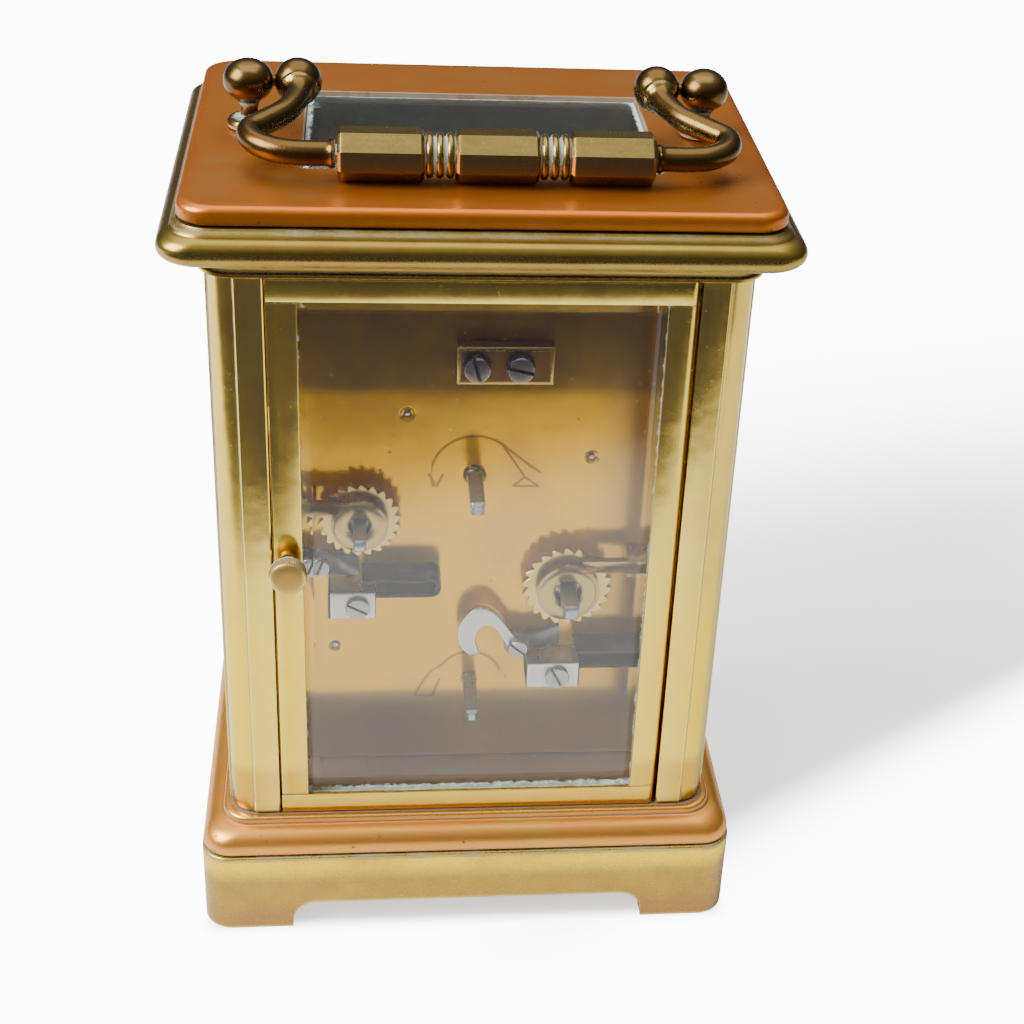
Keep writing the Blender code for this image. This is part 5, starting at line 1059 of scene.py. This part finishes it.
def makeHandle():
    s = handleShape
    postLow, postHigh = (np.array(c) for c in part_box("handle_post_right"))
    gripLow, gripHigh = (np.array(c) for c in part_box("handle_grip"))
    pivot = postHigh[2] - s["postHeight"]
    spacing = postHigh[0] - s["post"]
    knuckleX = spacing - s["post"] - s["knuckle"] - 0.0001
    gripHeight = (gripLow[2] + gripHigh[2]) / 2
    dip = math.asin((pivot - gripHeight) / s["reach"])
    foot = postLow[2]
    endX = s["gripHalf"] + 0.0003
    bend = [(0.0, 0.0), (0.0001, 0.0030), (0.0005, 0.0055), (0.0024, 0.0098), (0.0055, 0.0132),
            (0.0079, 0.0160),
            (0.0072, 0.0192), (0.0046, 0.0214), (0.0012, s["reach"]), (endX - knuckleX, s["reach"])]
    for side, sign in (("left", -1), ("right", 1)):
        ball = arcPoints((0, pivot), (s["post"], s["postHeight"]), 90, -58, 22)
        profile = [(max(x, 0), z, 0.25 * (k in (5, 6, 7)), 0.0) for k, (x, z) in enumerate(ball)]
        profile[0] = (0, pivot + s["postHeight"], 0.3, 0)
        profile += [(0.0017, pivot - 0.00335, 0, 0.8), (0.0014, pivot - 0.0040, 0, 0.6),
                    (0.0013, foot + 0.0022, 0, 0.3)]
        profile += [(0.0015, foot + 0.0016, 0, 0.8), (0.0024, foot + 0.00135, 0, 0.7),
                    (0.0032, foot + 0.0012, 0.5, 0.3)]
        profile += [(0.0035, foot + 0.0009, 0.9, 0.1), (0.0035, foot + 0.0003, 0.3, 0.7),
                    (0.0034, foot, 0, 1), (0, foot, 0, 1)]
        post = turnedShape(profile, "Z", (sign * spacing, 0, 0), 48)
        pin = turnedShape(
            [(0, sign * spacing), (0.0009, sign * spacing), (0.0009, sign * (knuckleX - 0.001)),
             (0, sign * (knuckleX - 0.001))],
            "X", (0, 0, pivot), 24,
        )
        makePiece(f"handlePost{side.title()}", joinShapes(post, pin), "arm", "case", [f"handle_post_{side}"])
        flat = smoothRoute([(knuckleX + a, r) for a, r in bend], 10)
        route = handlePlace(sign * flat[:, 0], flat[:, 1], pivot, dip)
        length = np.concatenate([[0], np.cumsum(np.linalg.norm(np.diff(route, axis=0), axis=1))])
        away = length - 0.0029
        radii = s["arm"] + (s["collar"] - s["arm"]) * np.exp(-np.clip(away, 0, None) / 0.0008)
        radii = np.where(away < 0, s["collar"], radii)
        fromEnd = length[-1] - length
        radii = radii + 0.00045 * np.exp(-((fromEnd - 0.0004) / 0.0004) ** 2)
        wear = 0.6 * np.exp(-((away) / 0.0007) ** 2)
        grime = 0.35 * np.exp(-((away + 0.0003) / 0.0003) ** 2) + 0.5 * np.exp(-((fromEnd) / 0.0005) ** 2)
        arm = tubeShape(route, radii, 28, wear, grime)
        knuckle = arcPoints((0, 0), (s["knuckle"], s["knuckle"]), 90, -90, 24)
        ballShape = turnedShape([(max(x, 0), z, 0, 0) for x, z in knuckle], "X",
                                (sign * knuckleX, 0, pivot), 40)
        makePiece(f"handleArm{side.title()}", joinShapes(arm, ballShape), "arm", "handle",
                  [f"handle_arm_{side}"])

    centre = handlePlace(0.0, s["reach"], pivot, dip)
    middle = s["middle"] / 2
    neckEnd = middle + s["neckLength"]
    shapes = []
    turn = np.linspace(0, 2 * math.pi, 8, endpoint=False) + math.pi / 8
    for start, end in ((-s["gripHalf"], -neckEnd), (-middle, middle), (neckEnd, s["gripHalf"])):
        rows, wear, grime = [], [], []
        for x, scale, w, g in (
            (start, 0.55, 0, 1.0), (start, 0.86, 0.3, 0.4), (start + 0.00012, 0.90, 0.9, 0),
            (start + 0.0005, 0.985, 0.8, 0),
            (start + 0.0007, 1.0, 0.9, 0), (start + 0.0011, 1.0, 0, 0), (end - 0.0011, 1.0, 0, 0),
            (end - 0.0007, 1.0, 0.9, 0),
            (end - 0.0005, 0.985, 0.8, 0), (end - 0.00012, 0.90, 0.9, 0), (end, 0.86, 0.3, 0.4),
            (end, 0.55, 0, 1.0),
        ):
            corners = []
            for k in range(8):
                # each arris is a narrow flat of three points, so that it catches the light
                for offset in (-0.035, 0.0, 0.035):
                    t = turn[k] + offset
                    flat = math.cos(math.pi / 8) / math.cos(min(abs(math.pi / 8 - abs(offset)), math.pi / 8))
                    corners.append((s["grip"] * scale * flat * math.cos(t),
                                    s["grip"] * scale * flat * math.sin(t)))
            corners = np.array(corners)
            rows.append(np.column_stack([np.full(24, centre[0] + x), centre[1] + corners[:, 0],
                                         centre[2] + corners[:, 1]]))
            wear.append(np.maximum(w, np.tile([0.7, 1.0, 0.7], 8) * (scale > 0.95)))
            grime.append(np.full(24, g))
        shapes.append(gridShape(np.array(rows), np.array(wear), np.array(grime)))
    for sign in (-1, 1):
        profile = [(0, sign * (neckEnd + 0.0004)), (s["neck"], sign * (neckEnd + 0.0004), 0, 1)]
        third = s["neckLength"] / 3
        for k in range(3):
            mid = sign * (neckEnd - third * (k + 0.5))
            bead = arcPoints((s["neck"], 0), (0.00062, 0.00060), 90, -90, 10)
            profile += [(x, mid + sign * z, 0.5 * max(0, (x - s["neck"]) / 0.00062) ** 3,
                         1.0 - 0.75 * ((x - s["neck"]) / 0.00062))
                        for x, z in bead]
        profile += [(s["neck"], sign * (middle - 0.0004), 0, 1), (0, sign * (middle - 0.0004))]
        shapes.append(turnedShape(profile, "X", centre, 40))
    makePiece("handleGrip", joinShapes(*shapes), "handle", "handle", ["handle_grip"], 20)


makeHandle()
print("handle done")


# the back plate and all that stands on it
movementShape = {
    "plateEdge": 0.00025, "ratchetTeeth": 22, "goingTooth": 0.0012, "alarmTooth": 0.0011,
    "goingSquare": 0.0027, "alarmSquare": 0.0022, "squareEdge": 0.00035,
}
backLow, backHigh = (np.array(c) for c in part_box("back_plate"))
plateFace = backHigh[1]
arborPlaces = {
    "centre": (0.0, 0.0815), "set": (0.0, 0.0398), "going": (-0.0162, 0.0611), "alarm": (0.0190, 0.0746),
    "second": (-0.0195, 0.0848), "third": (0.0112, 0.0929), "star": (0.0205, 0.0614),
    "hammer": (0.0234, 0.0471), "goingClick": (-0.0081, 0.0492), "alarmClick": (0.0257, 0.0663),
}


def makeBackPlate():
    # a flat rear face with a fine grid of points, dished into oil sinks round the pivots
    s = movementShape
    sinks = [("second", 0.0013, 0.0005), ("third", 0.0013, 0.0005), ("hammer", 0.0011, 0.0005),
             ("star", 0.0010, 0.0004),
             ("centre", 0.0019, 0.0008)]
    xs = [np.linspace(backLow[0], backHigh[0], 60)]
    zs = [np.linspace(backLow[2], backHigh[2], 90)]
    for name, radius, _ in sinks:
        x, z = arborPlaces[name]
        xs.append(x + np.linspace(-radius * 1.15, radius * 1.15, 24))
        zs.append(z + np.linspace(-radius * 1.15, radius * 1.15, 24))
    for c, low, high in ((xs, backLow[0], backHigh[0]), (zs, backLow[2], backHigh[2])):
        c.append(np.array([low + s["plateEdge"] * 0.3, low + s["plateEdge"], high - s["plateEdge"],
                           high - s["plateEdge"] * 0.3]))
    xs = np.unique(np.round(np.concatenate(xs), 7))
    zs = np.unique(np.round(np.concatenate(zs), 7))
    gx, gz = np.meshgrid(xs, zs, indexing="ij")
    depth = np.full(gx.shape, plateFace)
    grime = np.zeros(gx.shape)
    wear = np.zeros(gx.shape)
    for name, radius, pivot in sinks:
        x, z = arborPlaces[name]
        away = np.hypot(gx - x, gz - z)
        dish = 0.00055 * np.clip(1 - (away / radius) ** 2, 0, 1) ** 0.75
        depth = depth - dish
        grime = np.maximum(grime, np.clip(1.3 - away / pivot / 1.3, 0, 1))
        wear = np.maximum(wear, np.exp(-(((away - radius) / 0.00012) ** 2)) * 0.8)
    edge = np.minimum(np.minimum(gx - backLow[0], backHigh[0] - gx),
                      np.minimum(gz - backLow[2], backHigh[2] - gz))
    depth = depth - (s["plateEdge"] - np.minimum(edge, s["plateEdge"])) ** 2 / s["plateEdge"]
    wear = np.maximum(wear, np.exp(-((edge / 0.0003) ** 2)))
    face = np.stack([gx, depth, gz], -1)
    back = np.stack([gx, np.full(gx.shape, backLow[1]), gz], -1)
    n, m = gx.shape
    index = np.arange(n * m).reshape(n, m)
    quads = np.stack([index[:-1, :-1], index[1:, :-1], index[1:, 1:], index[:-1, 1:]], -1).reshape(-1, 4)
    rim = np.concatenate([index[:, 0], index[-1, 1:], index[::-1, -1][1:], index[0, ::-1][1:-1]])
    points = np.concatenate([face.reshape(-1, 3), back.reshape(-1, 3)[rim]])
    under = n * m + np.arange(len(rim))
    sides = np.stack([rim, np.roll(rim, -1), np.roll(under, -1), under], -1)
    faces = quads.tolist() + sides.tolist() + [under.tolist()]
    pad = np.zeros(len(rim))
    shape = (points, faces, np.concatenate([wear.reshape(-1), pad]), np.concatenate([grime.reshape(-1), pad]))
    makePiece("backPlate", shape, "backFace", "case", ["back_plate"], 25)
    # the ends of the pivots show in the oil sinks and turn with their wheels
    for name, radius, body in (("second", 0.0005, "second_wheel"), ("third", 0.0005, "third_wheel"),
                               ("hammer", 0.0005, "alarm_hammer"), ("star", 0.0004, "alarm_escape_wheel")):
        section = [(0, plateFace - 0.00015, 0.5, 0), (radius * 0.8, plateFace - 0.00022, 0.8, 0),
                   (radius, plateFace - 0.0004, 0, 1), (radius, plateFace - 0.0012), (0, plateFace - 0.0012)]
        pivot = turnedShape(section, "Y", (arborPlaces[name][0], 0, arborPlaces[name][1]), 20)
        makePiece(f"{name}PivotEnd", pivot, "steel", body)


def toothedOutline(centre, radius, depth, teeth, lean, phase=0.0, perTooth=6):
    # each tooth climbs slowly and drops fast, like a saw blade bent round
    share = np.linspace(0, 1, perTooth, endpoint=False)
    climb = np.where(share < lean, share / lean, (1 - share) / (1 - lean))
    turns = (np.arange(teeth)[:, None] + share[None, :]).reshape(-1) * 2 * math.pi / teeth + phase
    reach = radius - depth * (1 - np.tile(climb, teeth))
    return np.column_stack([centre[0] + reach * np.cos(turns), centre[1] + reach * np.sin(turns)]), turns


def makeRatchet(name, arbor, radius, depth, low, high, body, node, square, lean=0.78, phase=0.0):
    s = movementShape
    centre = arborPlaces[arbor]
    outline, turns = toothedOutline(centre, radius, depth, s["ratchetTeeth"], lean, phase)
    hole = np.column_stack([centre[0] + 0.0014 * np.cos(turns), centre[1] + 0.0014 * np.sin(turns)])
    wheel = ringSlab(outline, hole, "XZ", low, high, 0.00008)
    makePiece(f"{name}Ratchet", wheel, "paleBrass", body, [node], 30)
    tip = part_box(node)[1][1]
    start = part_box(node)[0][1]
    half = square / 2
    shaft = turnedShape([(0, start), (square * 0.62, start), (square * 0.62, high + 0.0005, 0.3, 0),
                         (square * 0.56, high + 0.0007, 0.8, 0), (0, high + 0.0007)], "Y",
                         (centre[0], 0, centre[1]), 40)
    rings, wear = [], []
    for inset, y, w in ((0, high + 0.0003, 0), (0, tip - 0.0006, 0.2), (0.00005, tip - 0.0004, 1),
                        (0.00035, tip - 0.00006, 1),
                        (0.0005, tip, 0.3)):
        h = half - inset
        c = min(s["squareEdge"], h * 0.5)
        outline = [(h, -h + c), (h, h - c), (h - c, h), (-h + c, h), (-h, h - c), (-h, -h + c),
                   (-h + c, -h), (h - c, -h)]
        rings.append([(centre[0] + a, y, centre[1] + b) for a, b in outline])
        wear.append(w)
    peg = gridShape(np.array(rings), np.array(wear))
    makePiece(f"{name}Arbor", joinShapes(shaft, peg), "steel", body, [], 25)


def makeCock(node, arbor, radius):
    # a domed ring over the ratchet, its inner edge bevelled, on the plain body of the cock
    high = np.array(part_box(node)[1])
    centre = arborPlaces[arbor]
    refined(node, "cock", 30)
    inner = radius - 0.0014
    profile = [(inner, high[1] - 0.0004, 0.2, 0.6), (inner + 0.0001, high[1] - 0.0001, 1, 0)]
    profile += [(x, y, 0.2, 0) for x,
                y in arcPoints((radius, high[1] - 0.0001), (0.0012, 0.00025), 170, 10, 12)]
    profile += [(radius + 0.0014, high[1] - 0.0002, 0.9, 0), (radius + 0.0014, high[1] - 0.0005, 0, 0.6)]
    ring = turnedShape(profile, "Y", (centre[0], 0, centre[1]), 56)
    return ring


def screwPiece(name, centre, base, radius, height, slot, angle, finish, body, replaced=()):
    # the head is made in two halves beside the slot and a lower web between them
    long = np.array([math.cos(angle), math.sin(angle)])
    wide = np.array([-long[1], long[0]])
    shapes = []
    start = math.asin(slot / 2 / radius)
    for sign in (1, -1):
        arc = np.linspace(start, math.pi - start, 26)
        rings, wear = [], []
        for k, h, w in ((1.0, 0.0, 0.2), (1.0, 0.78, 0.3), (0.975, 0.92, 1.0), (0.93, 1.0, 0.8),
                        (0.84, 1.02, 0.1), (0.5, 1.05, 0)):
            flat = np.outer(np.cos(arc) * radius * k, long) + np.outer(
                np.maximum(np.sin(arc) * radius * k, slot / 2 + 0.00002 * h), wide * sign)
            rings.append(np.column_stack([centre[0] + flat[:, 0], np.full(len(arc), base + h * height),
                                          centre[1] + flat[:, 1]]))
            wear.append(w)
        shapes.append(gridShape(np.array(rings), np.array(wear)))
    web = turnedShape([(0, base), (radius * 0.98, base, 0, 1), (radius * 0.98, base + height * 0.35, 0, 1),
                       (0, base + height * 0.35, 0, 1)],
                      "Y", (centre[0], 0, centre[1]), 40)
    shapes.append(web)
    makePiece(name, joinShapes(*shapes), finish, body, replaced, 28)


def makeBackWork():
    s = movementShape
    makeRatchet("going", "going", 0.0079, s["goingTooth"], 0.0171, 0.0185, "going_winding_arbor",
                "going_winding_arbor",
                s["goingSquare"], 0.22)
    makeRatchet("alarm", "alarm", 0.0070, s["alarmTooth"], 0.0171, 0.0185, "alarm_winding_arbor",
                "alarm_winding_arbor",
                s["alarmSquare"], 0.22, 0.1)
    rings = [makeCock("going_ratchet_cock", "going", 0.0037), makeCock("alarm_ratchet_cock", "alarm", 0.0032)]
    makePiece("cockRings", joinShapes(*rings), "cock", "case")
    for side in ("going", "alarm"):
        refined(f"{side}_click", "click", 30)
        refined(f"{side}_click_spring", "darkSteel", 30)
        low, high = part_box(f"{side}_click_screw")
        centre = arborPlaces[f"{side}Click"]
        screwPiece(f"{side}ClickScrew", centre, high[1] - 0.0011, 0.0017, 0.0011, 0.00045,
                   0.7 if side == "going" else 1.9,
                   "steel", "case", [f"{side}_click_screw"])
    # the clicks' curled tail and the blocks that hold the springs
    outer = smoothRoute([(-8.6, 49.6), (-6.5, 52.6), (-4.6, 55.3), (-2.7, 56.9), (-0.6, 56.9), (1.4, 55.2),
                         (2.4, 52.4), (1.9, 49.2), (0.2, 47.3)], 6)
    inner = smoothRoute([(-6.9, 48.2), (-5.4, 50.6), (-4.4, 52.4), (-3.0, 53.5), (-1.6, 53.2), (-0.9, 51.9),
                         (-0.7, 50.4), (-1.1, 48.8), (-1.5, 47.7)], 6)
    outline = np.vstack([outer, inner[::-1]]) / 1000
    makePiece("goingClickTail", slabShape(outline, "XZ", 0.0176, 0.0190, 0.00022), "paleSteel",
              "going_click", [], 28)
    blocks = [blockShape((0.0164, plateFace, 0.0566), (0.0240, 0.0208, 0.0617), 0.0003, "XZ"),
              blockShape((-0.0188, plateFace, 0.0416), (-0.0097, 0.0208, 0.0466), 0.0003, "XZ")]
    makePiece("springBlocks", joinShapes(*blocks), "paleSteel", "case", [], 28)
    screwPiece("alarmSpringScrew", (0.0194, 0.0590), 0.0208, 0.0020, 0.0009, 0.00045, 0.5, "steel", "case")
    screwPiece("goingSpringScrew", (-0.0150, 0.0440), 0.0208, 0.0021, 0.0009, 0.00045, 1.1, "steel", "case")


def makeEndBlock():
    low, high = (np.array(c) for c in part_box("contrate_end_block"))
    block = blockShape((low[0], plateFace + 0.00002, low[2]), (high[0], high[1], high[2]), 0.0003, "XZ")
    makePiece("endBlock", block, "block", "case", ["contrate_end_block"])
    for side, radius, angle in (("left", 0.0026, 0.25), ("right", 0.0022, 1.3)):
        node = f"block_screw_{side}"
        a, b = (np.array(c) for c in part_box(node))
        middle = (a + b) / 2
        screwPiece(f"blockScrew{side.title()}", (middle[0], middle[2]), high[1] + 0.00002,
                   min(radius, (b[0] - a[0]) / 2), b[1] - high[1],
                   0.00055, angle, "click", "case", [node])


def makeHandSquares():
    # the squares that set the hands and the alarm, over the plain ends of their arbors
    for name, node, body, half in (("handSquare", "centre_wheel", "centre_wheel", 0.00120),
                                   ("alarmSquare", "alarm_set_arbor", "alarm_set_arbor", 0.00112)):
        tip = 0.0267
        place = arborPlaces["set" if node == "alarm_set_arbor" else "centre"]
        centre = (place[0], 0.0, place[1])
        rings, wear = [], []
        for inset, y, w in ((0.0, plateFace + 0.0009, 0.4), (0.0, tip - 0.0008, 0.0),
                            (0.00004, tip - 0.0006, 1.0),
                            (0.00045, tip - 0.0001, 1.0), (0.0006, tip + 0.00005, 0.3)):
            h = half - inset
            c = h * 0.22
            outline = [(h, -h + c), (h, h - c), (h - c, h), (-h + c, h), (-h, h - c), (-h, -h + c),
                       (-h + c, -h), (h - c, -h)]
            rings.append([(centre[0] + a, y, centre[2] + b) for a, b in outline])
            wear.append(w)
        peg = gridShape(np.array(rings), np.array(wear))
        collar = turnedShape([(0.0, plateFace + 0.0001), (half * 1.25, plateFace + 0.0001, 0, 0.8),
                              (half * 1.25, plateFace + 0.0008, 0.5, 0),
                              (half * 1.1, plateFace + 0.0011, 0.9, 0), (0.0, plateFace + 0.0011)], "Y",
                              (centre[0], 0, centre[2]), 32)
        makePiece(name, joinShapes(peg, collar), "steel", body, [], 25)


makeBackPlate()
makeHandSquares()
makeBackWork()
makeEndBlock()
print("back work done")


# cream discs with plain numerals, on the gilt plate
dialShape = {"radius": 0.0213, "alarmRadius": 0.0079, "thick": 0.00022, "ink": 0.00003, "numeral": 0.0033,
             "small": 0.0017}
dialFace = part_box("dial")[0][1]
romans = ["XII", "I", "II", "III", "IV", "V", "VI", "VII", "VIII", "IX", "X", "XI"]


def inkRing(centre, radius, width, level):
    steps = 96
    outer = circleOutline(centre, radius + width / 2, steps)
    inner = circleOutline(centre, radius - width / 2, steps)
    return ringSlab(outer, inner, "XZ", level - dialShape["ink"], level + 0.00001, 0.000004)


def inkTick(centre, turn, near, far, width, level):
    out = np.array([math.sin(turn), math.cos(turn)])
    side = np.array([out[1], -out[0]]) * width / 2
    corners = [out * near - side, out * near + side, out * far + side, out * far - side]
    outline = np.array([np.array(centre) + c for c in corners])
    return slabShape(outline, "XZ", level - dialShape["ink"], level + 0.00001, 0.000004, 1)


def inkText(words, centre, turn, height, level, squeeze=1.0):
    # the font's flat outline made a mesh, stood upright and turned to face outwards round the dial
    curve = bpy.data.curves.new("numeral", "FONT")
    curve.body = words
    curve.size = height * 1.38
    curve.align_x = "CENTER"
    curve.extrude = dialShape["ink"] / 2
    curve.resolution_u = 6
    text = bpy.data.objects.new("numeral", curve)
    bpy.context.scene.collection.objects.link(text)
    bpy.context.view_layer.update()
    mesh = bpy.data.meshes.new_from_object(text.evaluated_get(bpy.context.evaluated_depsgraph_get()))
    points = np.array([v.co[:] for v in mesh.vertices])
    faces = [list(p.vertices) for p in mesh.polygons]
    bpy.data.objects.remove(text)
    bpy.data.meshes.remove(mesh)
    x, z = points[:, 0] * squeeze, points[:, 1] - height / 2
    across = x * math.cos(turn) + z * math.sin(turn)
    up = -x * math.sin(turn) + z * math.cos(turn)
    made = np.column_stack([centre[0] + across, level - points[:, 2] - dialShape["ink"] / 2, centre[1] + up])
    zero = np.zeros(len(made))
    return made, faces, zero, zero


def makeDial():
    s = dialShape
    refined("dial", "movement", 30)
    big, small = arborPlaces["centre"], arborPlaces["set"]
    discs = []
    for (x, z), radius, hole in ((big, s["radius"], 0.0018), (small, s["alarmRadius"], 0.0013)):
        rows = [(hole, dialFace + 0.00002), (hole, dialFace - s["thick"] * 0.8),
                (hole + 0.0004, dialFace - s["thick"], 0, 0.3), (radius - 0.0004, dialFace - s["thick"]),
                (radius - 0.0001, dialFace - s["thick"] * 0.7),
                (radius, dialFace - s["thick"] * 0.3, 0, 0.5), (radius, dialFace + 0.00002)]
        discs.append(turnedShape(rows, "Y", (x, 0, z), 120))
    makePiece("dialDiscs", joinShapes(*discs), "enamel", "case")
    level = dialFace - s["thick"]
    ink = [inkRing(big, r, 0.00009, level) for r in (0.0202, 0.0188)]
    ink += [inkTick(big, k * math.pi / 30, 0.0188, 0.0202, 0.00032 if k % 5 == 0 else 0.00010,
                    level) for k in range(60)]
    for k in range(12):
        turn = k * math.pi / 6
        place = (big[0] + math.sin(turn) * 0.0163, big[1] + math.cos(turn) * 0.0163)
        ink.append(inkText(romans[k], place, turn, s["numeral"], level, 0.86))
        place = (small[0] + math.sin(turn) * 0.0061, small[1] + math.cos(turn) * 0.0061)
        ink.append(inkText(str(k or 12), place, 0.0, s["small"] * 0.8, level, 0.9))
    ink += [inkRing(small, 0.0074, 0.00007, level)]
    makePiece("dialNumerals", joinShapes(*ink), "ink", "case")


makeDial()
print("dial done")


# the bodies that keep their own shape, smoothed, by finish
keptFinishes = {
    "hinge_pin_upper": "case", "hinge_pin_lower": "case", "front_plate": "movement",
    "contrate_wheel": "movement",
    "third_wheel": "movement", "second_wheel": "movement", "centre_wheel": "movement",
    "minute_wheel": "movement",
    "hour_hand": "blue", "minute_hand": "blue", "going_barrel": "movement", "alarm_barrel": "movement",
    "escape_wheel": "steel", "pallet_lever": "steel", "balance_wheel": "movement", "bell": "nickel",
    "alarm_hammer": "steel", "alarm_escape_wheel": "steel", "alarm_set_arbor": "steel",
    "pillar_lower_left": "movement", "pillar_lower_right": "movement", "pillar_upper_left": "movement",
    "pillar_upper_right": "movement", "platform": "nickel", "balance_cock": "nickel",
}


for node in nodes:
    if node not in replacedNodes:
        refined(node, keptFinishes[node])


stageLook = {
    # shade is how far the floor's painted shadow dims its glow
    "floor": 6.0, "floorColour": (0.88, 0.88, 0.88), "floorGlow": 11.0, "shade": 0.90, "key": 24.0,
    "keySize": 0.6,
    "keyPlace": (0.75, 0.25, 0.75), "top": 10.0, "topSize": 1.2, "topPlace": (0.0, -0.25, 1.2),
    "world": 0.9, "cardFade": (0.150, 0.192), "cardLean": 0.35,
}


def flatSheet(name, corners, material):
    mesh = bpy.data.meshes.new(name)
    mesh.from_pydata([tuple(c) for c in corners], [], [tuple(range(len(corners)))])
    mesh.materials.append(material)
    sheet = bpy.data.objects.new(name, mesh)
    bpy.context.scene.collection.objects.link(sheet)
    sheet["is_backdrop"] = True
    return sheet


def makeLamp(name, place, target, size, power):
    data = bpy.data.lights.new(name, "AREA")
    data.shape = "RECTANGLE"
    data.size, data.size_y = size
    data.energy = power
    lamp = bpy.data.objects.new(name, data)
    bpy.context.scene.collection.objects.link(lamp)
    aim = np.array(target, float) - np.array(place, float)
    away = -aim / np.linalg.norm(aim)
    side = np.cross((0.0, 0.0, 1.0), away)
    side = side / np.linalg.norm(side) if np.linalg.norm(side) > 1e-6 else np.array([1.0, 0, 0])
    up = np.cross(away, side)
    turn = Matrix([[*map(float, row)] for row in np.array([side, up, away]).T]).to_4x4()
    lamp.matrix_world = Matrix.Translation(place) @ turn
    lamp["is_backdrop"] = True
    return lamp


def makeStage():
    s = stageLook
    r = s["floor"]
    paper = Finish("paleFloor")
    paper.set(colour=s["floorColour"], roughness=0.7, metallic=0.0, specular=0.1)
    # seen straight on, the paper is brighter than what it lends to reflections, but for a soft painted shadow
    # beside the clock, bounded by the line y = 0.65 x + 0.060, and under its base, where its glow is dimmed
    seen = paper.node("ShaderNodeLightPath", {}, {}, "Is Camera Ray")
    x, y = paper.part("X"), paper.part("Y")
    beside = (y - x * 0.65).fall(0.040, 0.062) * x.fall(-0.045, 0.010) * (y - x * 0.25).rise(-0.19, -0.06)
    beside = beside * (x.rise(-0.30, -0.12) * 0.5 + 0.5)
    under = abs(x).fall(0.044, 0.048) * abs(y).fall(0.033, 0.038)
    glowWithPaintedShadow = seen * (1 - beside.most(under).clamped() * s["shade"])
    paper.fill(paper.shader.inputs["Emission Color"], paper.mix(glowWithPaintedShadow, (0, 0, 0), (1, 1, 1)))
    paper.fill(paper.shader.inputs["Emission Strength"], s["floorGlow"])
    floor = flatSheet("paleFloor", [(-r, -r, 0), (r, -r, 0), (r, r, 0), (-r, r, 0)], paper.material)
    makeLamp("keyLamp", s["keyPlace"], (0, 0, 0.06), (s["keySize"], s["keySize"]), s["key"])
    makeLamp("topLamp", s["topPlace"], (0, 0, 0.08), (s["topSize"], s["topSize"]), s["top"])
    # a dark card lying towards the camera, fading out near the clock, for what upright metal and glass reflect
    shade = Finish("darkCard")
    shade.set(colour=(0.05, 0.048, 0.085), roughness=0.8, metallic=0.0, specular=0.0)
    reach = shade.part("Y") + shade.part("X") * s["cardLean"]
    shade.set(alpha=reach.rise(*s["cardFade"]))
    card = flatSheet("darkCard",
        [(-0.9, 0.05, 0.001), (0.9, 0.05, 0.001), (0.9, 1.6, 0.001), (-0.9, 1.6, 0.001)], shade.material)
    card.visible_camera = False
    card.visible_diffuse = False
    card.visible_shadow = False
    world = bpy.data.worlds.new("studio")
    bpy.context.scene.world = world
    world.use_nodes = True
    tree = world.node_tree
    back = tree.nodes["Background"]
    coords = tree.nodes.new("ShaderNodeTexCoord")
    split = tree.nodes.new("ShaderNodeSeparateXYZ")
    ramp = tree.nodes.new("ShaderNodeValToRGB")
    tree.links.new(coords.outputs["Generated"], split.inputs[0])
    tree.links.new(split.outputs["Z"], ramp.inputs[0])
    tree.links.new(ramp.outputs[0], back.inputs[0])
    for element, (position, grey) in zip([*ramp.color_ramp.elements, ramp.color_ramp.elements.new(0.5)],
                                         ((0.0, 0.06), (0.9, 1.0), (0.5, 0.22))):
        element.position = position
        element.color = (grey, grey, grey, 1)
    back.inputs[1].default_value = s["world"]
    return floor


makeStage()
makeCamera(cameraLook)
sizes = {"body": [[*map(float, c)] for c in cadBox], "look": [[*map(float, c)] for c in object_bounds()]}
print("sizes in mm", [[round(v * 1000, 2) for v in c] for pair in sizes.values() for c in pair])
